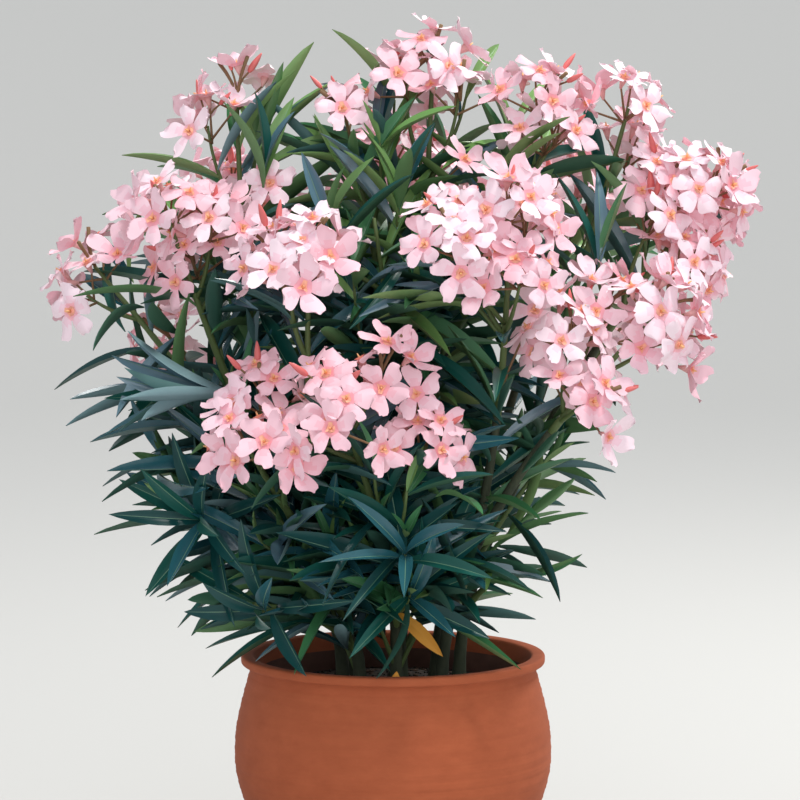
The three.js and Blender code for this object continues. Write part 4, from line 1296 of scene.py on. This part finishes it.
# %% Leaf greens
LEAF_GREENS = {
    "dark": ((0.005, 0.062, 0.060), (0.030, 0.105, 0.075)),
    "deep": ((0.008, 0.092, 0.072), (0.040, 0.130, 0.075)),
    "green": ((0.060, 0.215, 0.085), (0.120, 0.260, 0.100)),
    "blue": ((0.022, 0.115, 0.140), (0.065, 0.160, 0.155)),
    # Silver: a painted sheen, the grey-blue of leaves that catch the light
    "silver": ((0.100, 0.195, 0.245), (0.165, 0.280, 0.300)),
    "olive": ((0.150, 0.285, 0.085), (0.200, 0.330, 0.120)),
    "young": ((0.180, 0.370, 0.100), (0.230, 0.400, 0.140)),
}
GREEN_NAMES = list(LEAF_GREENS)
SHINY_GREENS = ("silver", "blue")
LOW_TOP = 460
MIDDLE_TOP = 600
LEFT_TOP = 640


def mix_of(**shares):
    return [name for name, share in shares.items() for _ in range(share)]


# Darker greens low down are painted shade, and lighter ones higher up and in the open are painted light
LOW_MIX = mix_of(dark=6, deep=6, blue=4, green=1)
MIDDLE_MIX = mix_of(dark=2, deep=6, green=4, blue=3, silver=1, olive=1)
HIGH_MIX = mix_of(deep=2, green=6, olive=5, blue=1, silver=3, young=2)
LEFT_MIX = mix_of(deep=4, green=2, blue=6, dark=2, silver=2)
LOW_RIGHT_MIX = mix_of(dark=2, deep=4, green=5, olive=2, silver=2)
# The sweep's leaves: mostly the painted silver sheen, with blue
SWEEP_MIX = mix_of(silver=4, blue=4, deep=2)
OPEN_MIX = mix_of(dark=6, deep=6, blue=4)

leaf_materials = []
for name, (upper, under) in LEAF_GREENS.items():
    roughness, gloss = (0.24, 0.75) if name in SHINY_GREENS else (0.33, 0.45)
    leaf_materials.append(plain_material(f"leaf_{name}", upper, roughness, Specular_IOR_Level=gloss))
    leaf_materials.append(plain_material(f"leaf_{name}_under", under, 0.55))
leaf_materials.append(plain_material("midrib", (0.15, 0.29, 0.18), 0.45))


def leaf_slots(green):
    order = GREEN_NAMES.index(green)
    return [2 * order, len(leaf_materials) - 1, 2 * order + 1]


def at_low_right(root):
    """The part where the plant is open, and its leaves are slim."""
    return root[0] > 60 and root[2] < 520


# The mix by place: painted shade low down, and painted light at the top and in the open right
def green_mix(name, root):
    if "left" in name and "back" not in name and root[2] < LEFT_TOP:
        return LEFT_MIX
    if at_low_right(root):
        return LOW_RIGHT_MIX
    return LOW_MIX if root[2] < LOW_TOP else MIDDLE_MIX if root[2] < MIDDLE_TOP else HIGH_MIX


print("leaf materials:", len(leaf_materials))

# %% [markdown]
# Every twig carries whorls of three leaves down its length, by the solids' rule, and boughs, upper stems
# and young shoots have leaves too. A spray is one such stretch of leaves.

# %% The rule for leaves
LEAF_LENGTH = 132
LEAF_WIDTH = 15.5
FINE_WHORL_STEP = 16
WHORLS_UNDER_HEAD = 4
LEAF_SLOPE = 66
STEEPER_AT_TIP = 30
SHORTER_AT_TIP = 0.22
FADE_WHORLS = 3

# Boughs, stems and young shoots are followed in fine steps, not in the few of the solids
FINE_STEPS = 20
STEM_DROOP = 0.35
YOUNG_DROOP = 0.2

Spray = namedtuple("Spray", "curve steps seed leafless first wood")


def leaning(heading, out, slope, droop):
    """The way and the face of a leaf that leans out from a twig by the slope, and hangs a little."""
    way = unit(heading * math.cos(slope) + out * math.sin(slope) - UP * droop)
    return way, unit(heading - way * heading.dot(way))


def grow_leaves(spray, droop):
    curve, across = spray.curve, spray.curve.across()
    leaves = []
    first = round(spray.first * WHORL_STEP / FINE_WHORL_STEP)
    whorls = math.floor(curve.length * (1 - spray.leafless) / FINE_WHORL_STEP)
    for w in range(first, whorls):
        draw = seeded_draws(spray.seed * 100 + w)
        share = 1 - (w + FIRST_WHORL) * FINE_WHORL_STEP / curve.length
        root = curve.on_steps(spray.steps, share)
        heading = curve.heading(share)
        side = np.cross(across, heading)
        tipwards = math.exp((first - w) / FADE_WHORLS)
        for j in range(3):
            angle = TURN * (j / 3 + w / 6) + 0.5 * (draw() - 0.5)
            slope = math.radians(LEAF_SLOPE - STEEPER_AT_TIP * tipwards + 18 * (draw() - 0.5))
            size = 0.82 + 0.3 * draw()
            way, face = leaning(heading, round_twig(side, across, angle), slope, droop)
            leaves.append((root, way, face, LEAF_LENGTH * size * (1 - SHORTER_AT_TIP * tipwards), w))
    return leaves


def sprays_of(shoot):
    """Each leafy stretch of a shoot: its curve, steps, seed, bare share, first whorl and kind of wood."""
    seed = shoot["seed"]
    under_head = WHORLS_UNDER_HEAD if shoot["flowers"] else 0
    sprays = [Spray(shoot["curve"], SHOOT_STEPS, seed, 0.04, under_head, "shoot")]
    for k, (twig, flowering) in enumerate(shoot["twigs"]):
        under = WHORLS_UNDER_HEAD if flowering else 0
        sprays.append(Spray(twig, TWIG_STEPS, seed + k + 1, 0.1, under, "twig"))
    for k, twig in enumerate(shoot["finer"]):
        sprays.append(Spray(twig, TWIG_STEPS, 5000 + seed + k, 0.15, 0, "twig"))
    if shoot["bough"]:
        sprays.append(Spray(shoot["bough"], FINE_STEPS, 7000 + seed, 0.1, 0, None))
    return sprays


# The upper stems with leaves, and the share at the foot that is bare. A short stem has a twig in it
LEAFY_STEMS = {"left": 0.3, "front_left": 0.3, "front": 0.3, "middle": 0.3, "back_left": 0.4}
SHORT_STEM = 150

leafy_parts = [(shoot["name"], shoot["droop"], sprays_of(shoot)) for shoot in shoots]
for k, (name, bare) in enumerate(LEAFY_STEMS.items()):
    curve = stem_curves[name]
    wood = "twig" if curve.length < SHORT_STEM else None
    leafy_parts.append((name, STEM_DROOP, [Spray(curve, FINE_STEPS, 9000 + 10 * k, bare, 0, wood)]))
for k, (name, curves) in enumerate(low_shoots.items()):
    sprays = []
    for j, curve in enumerate(curves):
        sprays.append(Spray(curve, FINE_STEPS, 9500 + 10 * k + j, 0.2, 0, "twig"))
    leafy_parts.append((name, YOUNG_DROOP, sprays))
print("sprays:", sum(len(sprays) for _, _, sprays in leafy_parts))

# %% [markdown]
# A leaf is tested at samples along its middle and both margins. It is left out where it would stand in an
# open flower, or hide the flower's face from the viewer.

# %% Room for a leaf
# How far in front of a flower a leaf hides it, on the flower's own side and on the viewer's, and how near
# to the middle of the flower, as a share of its radius
HIDES_WITHIN = 65
HIDES_FROM_VIEW = 150
HIDES_NEAR = 0.6
HIDES_NEAR_IN_VIEW = 0.55
FLOWER_ROOM = 0.7

# Where samples of a leaf are taken along it, and how wide it is there
SAMPLE_SHARES = np.array([0.3, 0.45, 0.6, 0.8, 1.0])
SAMPLE_WIDTHS = np.array([0.8, 1.0, 0.9, 0.5, 0.0]) * LEAF_WIDTH / 2


def leaf_frame(root, way, face, length, width):
    side = np.cross(face, way)
    return np.stack([way * length, side * width, face * length, root], axis=1)


def leaf_samples(root, way, face, length):
    side = np.cross(face, way)
    middle = root + way * length * SAMPLE_SHARES[:, None]
    margin = side * SAMPLE_WIDTHS[:, None]
    return np.concatenate([middle - margin, middle, middle + margin])


def clear_of_flowers(points):
    apart = points[:, None, :] - flower_centres[None, :, :]
    distance = np.linalg.norm(apart, axis=2)
    ahead = (apart * flower_faces[None, :, :]).sum(axis=2)
    aside = np.sqrt(np.maximum(distance**2 - ahead**2, 0))
    hides = (ahead > 0) & (ahead < HIDES_WITHIN) & (aside < FLOWER_RADIUS * HIDES_NEAR)
    before = (apart[:, :, 1] < 0) & (apart[:, :, 1] > -HIDES_FROM_VIEW) & (flower_faces[None, :, 1] < -0.3)
    hides |= before & (np.hypot(apart[:, :, 0], apart[:, :, 2]) < FLOWER_RADIUS * HIDES_NEAR_IN_VIEW)
    return bool(distance.min() > FLOWER_RADIUS * FLOWER_ROOM and not hides.any())


def fits(samples):
    return clear_of_pot(samples) and inside_crown(samples) and clear_of_flowers(samples)


print("samples of a leaf:", 3 * len(SAMPLE_SHARES))

# %% [markdown]
# The leaves of the open tips are placed first: the inner ones short and steep, the outer ones long and
# spread wide. The space between them and the viewer is then kept clear, and that before the dry leaf too.

# %% Leaves of the open tips
OPEN_DROOP = 0.06
SHOWN_AHEAD = 25
SHOWN_RADIUS = 50

# A small window above the lower heads that no near leaf crosses: its middle and its radius
WINDOW = (np.array([-17.0, -150.0, 560.0]), 17)

DRY_ROOT = np.array([5.0, -90.0, 305.0])
DRY_WAY = unit(np.array([44.0, -12.0, -42.0]))
DRY_LENGTH = 62
DRY_SHOWN_RADIUS = 13

leaf_places = []


def open_leaves(curve, count, opened, length, seed):
    draw = seeded_draws(seed)
    tip, heading = curve.at(1), curve.heading(1)
    side = unit(np.cross(UP, heading))
    rise = np.cross(heading, side)
    leaves = []
    for k in range(count):
        outer = k / (count - 1)
        angle = GOLDEN_ANGLE * k + 0.5 * (draw() - 0.5)
        slope = math.radians(opened * (0.45 + 0.55 * outer) + 12 * (draw() - 0.5))
        way, face = leaning(heading, round_twig(side, rise, angle), slope, OPEN_DROOP)
        size = (0.7 + 0.3 * outer) * (0.92 + 0.16 * draw())
        leaves.append((tip - heading * 3 * k, way, face, length * size))
    return leaves


for k, (row, curve) in enumerate(zip(OPEN_TIPS, open_tips)):
    draw = seeded_draws(6000 + k)
    # The open tips' greens follow height too: lighter at the top as painted light, darker below as painted
    # shade
    mix = SWEEP_MIX if row[0] == "left_sweep" else HIGH_MIX if row[2][2] > MIDDLE_TOP else OPEN_MIX
    for root, way, face, length in open_leaves(curve, *row[4:], 6100 + k):
        form, green = int(draw() * 4), mix[int(draw() * len(mix))]
        if fits(leaf_samples(root, way, face, length)):
            width = LEAF_WIDTH * (0.88 + 0.2 * draw())
            leaf_places.append((form, green, leaf_frame(root, way, face, length, width)))

shown = [(curve.at(1) + curve.heading(1) * SHOWN_AHEAD, SHOWN_RADIUS) for curve in open_tips]
shown.append(WINDOW)
shown += [(DRY_ROOT + DRY_WAY * DRY_LENGTH * share, DRY_SHOWN_RADIUS) for share in (0.3, 0.55, 0.8)]
shown_places = np.array([place for place, _ in shown])
shown_reach = np.array([reach for _, reach in shown])


def clear_of_open_tips(points):
    apart = points[:, None, :] - shown_places[None, :, :]
    near = np.hypot(apart[:, :, 0], apart[:, :, 2]) < shown_reach
    return not (near & (apart[:, :, 1] < 0)).any()


print("leaves of open tips:", len(leaf_places))

# %% [markdown]
# All other leaves follow. Each gets its form, width, green and a little sway by draws. Some are left out
# by draws too: in the open shoots, low at the right, and near the outline, so that it isn't a hard edge.

# %% Leaves on every spray
# What share of its leaves a shoot keeps where that isn't the usual one
KEPT_SHARE = 0.88
OPEN_SHOOTS = {
    "right_spray": 0.5, "low_right": 0.4, "back_right_low": 0.35, "right_low": 0.45,
    "back_right_middle": 0.35, "back_low": 0.6, "front_low_right": 0.6, "left_sweep": 0.75,
    "far_left": 0.7, "back_left_middle": 0.5, "back_left_low": 0.5,
}
LOW_RIGHT_SHARE = 0.5
LOOSE_SHOOTS = ("right_spray", "low_right", "right_low", "front_low_right")
LEAF_SWAY = 0.5
LOW_RIGHT_SLIM = 0.64
OPEN_SLIM = 0.82
LEVEL_LONGER = 1.12
HANGS_STRAIGHT = -0.75
OUTER_REACH = 0.74
OUTER_SHARE = 0.6
YOUNG_ABOVE = 560

leaf_counts = {}


def leaf_on(name, spray, leaf, draw):
    """Places one leaf of a spray, unless a draw or the room about it leaves it out."""
    root, way, face, length, w = leaf
    form, pick = int(draw() * 4), draw()
    opened = name in OPEN_SHOOTS or root[2] > HEADS_START
    slim = LOW_RIGHT_SLIM if at_low_right(root) else OPEN_SLIM if opened else 1
    width = LEAF_WIDTH * (0.8 + 0.35 * draw()) * slim
    mix = green_mix(name, root)
    green = mix[int(pick * len(mix))]
    if w == spray.first and draw() < 0.3:
        green = "young" if root[2] > YOUNG_ABOVE else "green"
    if draw() > OPEN_SHOOTS.get(name, KEPT_SHARE) or way[2] < HANGS_STRAIGHT:
        return
    if at_low_right(root) and draw() > LOW_RIGHT_SHARE:
        return
    sway = LEAF_SWAY * (2 if name in LOOSE_SHOOTS else 1)
    way = unit(way + sway * np.array([draw() - 0.5, draw() - 0.5, draw() - 0.5]))
    face = unit(face - way * face.dot(way))
    length *= (0.9 + 0.2 * draw()) * (LEVEL_LONGER if name in LEVEL_SHOOTS else 1)
    samples = leaf_samples(root, way, face, length)
    if reach_of(root + way * length) > OUTER_REACH and draw() > OUTER_SHARE:
        return
    if fits(samples) and clear_of_limbs(samples) and clear_of_open_tips(samples):
        leaf_places.append((form, green, leaf_frame(root, way, face, length, width)))
        leaf_counts[spray.seed] += 1


for name, droop, sprays in leafy_parts:
    for spray in sprays:
        leaf_counts[spray.seed] = 0
        draw = seeded_draws(spray.seed * 31 + 7)
        for leaf in grow_leaves(spray, droop):
            leaf_on(name, spray, leaf, draw)
print("leaves:", len(leaf_places))

# %% [markdown]
# Three small pale leaves stand upright at the growing tip of each leafy twig. Then the leaves are joined
# in four pieces, one for each side of the plant, which keeps every piece small.

# %% Growing tips and leaf pieces
LEAFY_ENOUGH = 4

for _, _, sprays in leafy_parts:
    for spray in sprays:
        if spray.first or leaf_counts[spray.seed] < LEAFY_ENOUGH:
            continue
        draw = seeded_draws(spray.seed * 13 + 5)
        tip, heading, _, level, rise = tip_frame(spray.curve)
        for j in range(3):
            angle = TURN * (j + 0.5 * draw()) / 3
            slope = math.radians(10 + 22 * draw())
            way, face = leaning(heading, round_twig(level, rise, angle), slope, 0)
            length, width = 38 + 26 * draw(), LEAF_WIDTH * (0.45 + 0.15 * draw())
            pale = "young" if tip[2] > YOUNG_ABOVE else "olive"
            green = pale if draw() < 0.4 else "green"
            samples = leaf_samples(tip, way, face, length)
            if fits(samples) and clear_of_open_tips(samples):
                leaf_places.append((j, green, leaf_frame(tip, way, face, length, width)))
print("leaves:", len(leaf_places))


def quarter_of(root):
    if abs(root[1]) > abs(root[0]):
        return "front" if root[1] < 0 else "back"
    return "left" if root[0] < 0 else "right"


for quarter in ("left", "front", "right", "back"):
    rows = [place for place in leaf_places if quarter_of(place[2][:, 3]) == quarter]
    leaves = placed_forms(leaf_forms, rows, leaf_slots)
    finished(f"leaves_{quarter}", mesh_of(f"leaves_{quarter}", leaves), leaf_materials)

# %% [markdown]
# The green shoots and twigs carry the leaves and flowers, and this piece stands for all the solid masses.
# A twig that has neither flowers nor enough leaves is left out, so that no bare stick shows, and a
# flowering one ends under its head.

# %% Shoots and twigs
SHOOT_RADII = (4, 1.8, 0)
TWIG_RADII = (2.6, 1.3, 0)
ENDS_UNDER_HEAD = 30

shoot_tube = tube_template(8, 16)
twig_tube = tube_template(6, 8)
green_parts = [bent_tube(twig_tube, curve, TWIG_RADII) for curve in open_tips]
for _, _, sprays in leafy_parts:
    for spray in sprays:
        curve = spray.curve
        if spray.first:
            curve = curve.part(0, 1 - ENDS_UNDER_HEAD / curve.length)
        if spray.wood == "shoot":
            green_parts.append(bent_tube(shoot_tube, curve, SHOOT_RADII))
        elif spray.wood == "twig" and (spray.first or leaf_counts[spray.seed] >= LEAFY_ENOUGH):
            green_parts.append(bent_tube(twig_tube, curve, TWIG_RADII))
green_wood = plain_material("green_wood", (0.10, 0.15, 0.045), 0.6)
mass_nodes = [f"mass_{shoot['name']}" for shoot in shoots]
finished("shoots_and_twigs", mesh_of("shoots_and_twigs", merged(green_parts)), [green_wood], mass_nodes)

# %% [markdown]
# One yellow leaf has dried among the stems above the rim, and a scrap of another lies at the rim. They
# are leaves of the fourth form, short and broad.

# %% Dry leaves
SCRAP_ROOT = np.array([1.0, -130.0, 235.0])
SCRAP_WAY = unit(np.array([0.15, -0.25, 1.0]))

dry_leaf = plain_material("dry_leaf", (0.80, 0.36, 0.045), 0.7)
dry_places = [leaf_frame(DRY_ROOT, DRY_WAY, unit(np.array([0.0, -1.0, 0.29])), DRY_LENGTH, 14),
              leaf_frame(SCRAP_ROOT, SCRAP_WAY, np.array([0.0, -1.0, -0.25]), 20, 10)]
dry = placed(leaf_forms[3], np.array(dry_places), np.zeros((len(dry_places), 3), dtype=int))
finished("dry_leaves", mesh_of("dry_leaves", dry), [dry_leaf])

# %% [markdown]
# Last, the sizes of the solids and of the finished plant are written down, and can be compared.

# %% Finish
bpy.context.view_layer.update()
sizes = {"cad": [list(corner) for corner in CAD_BOX], "shown": [list(corner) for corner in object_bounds()]}
print(sizes)
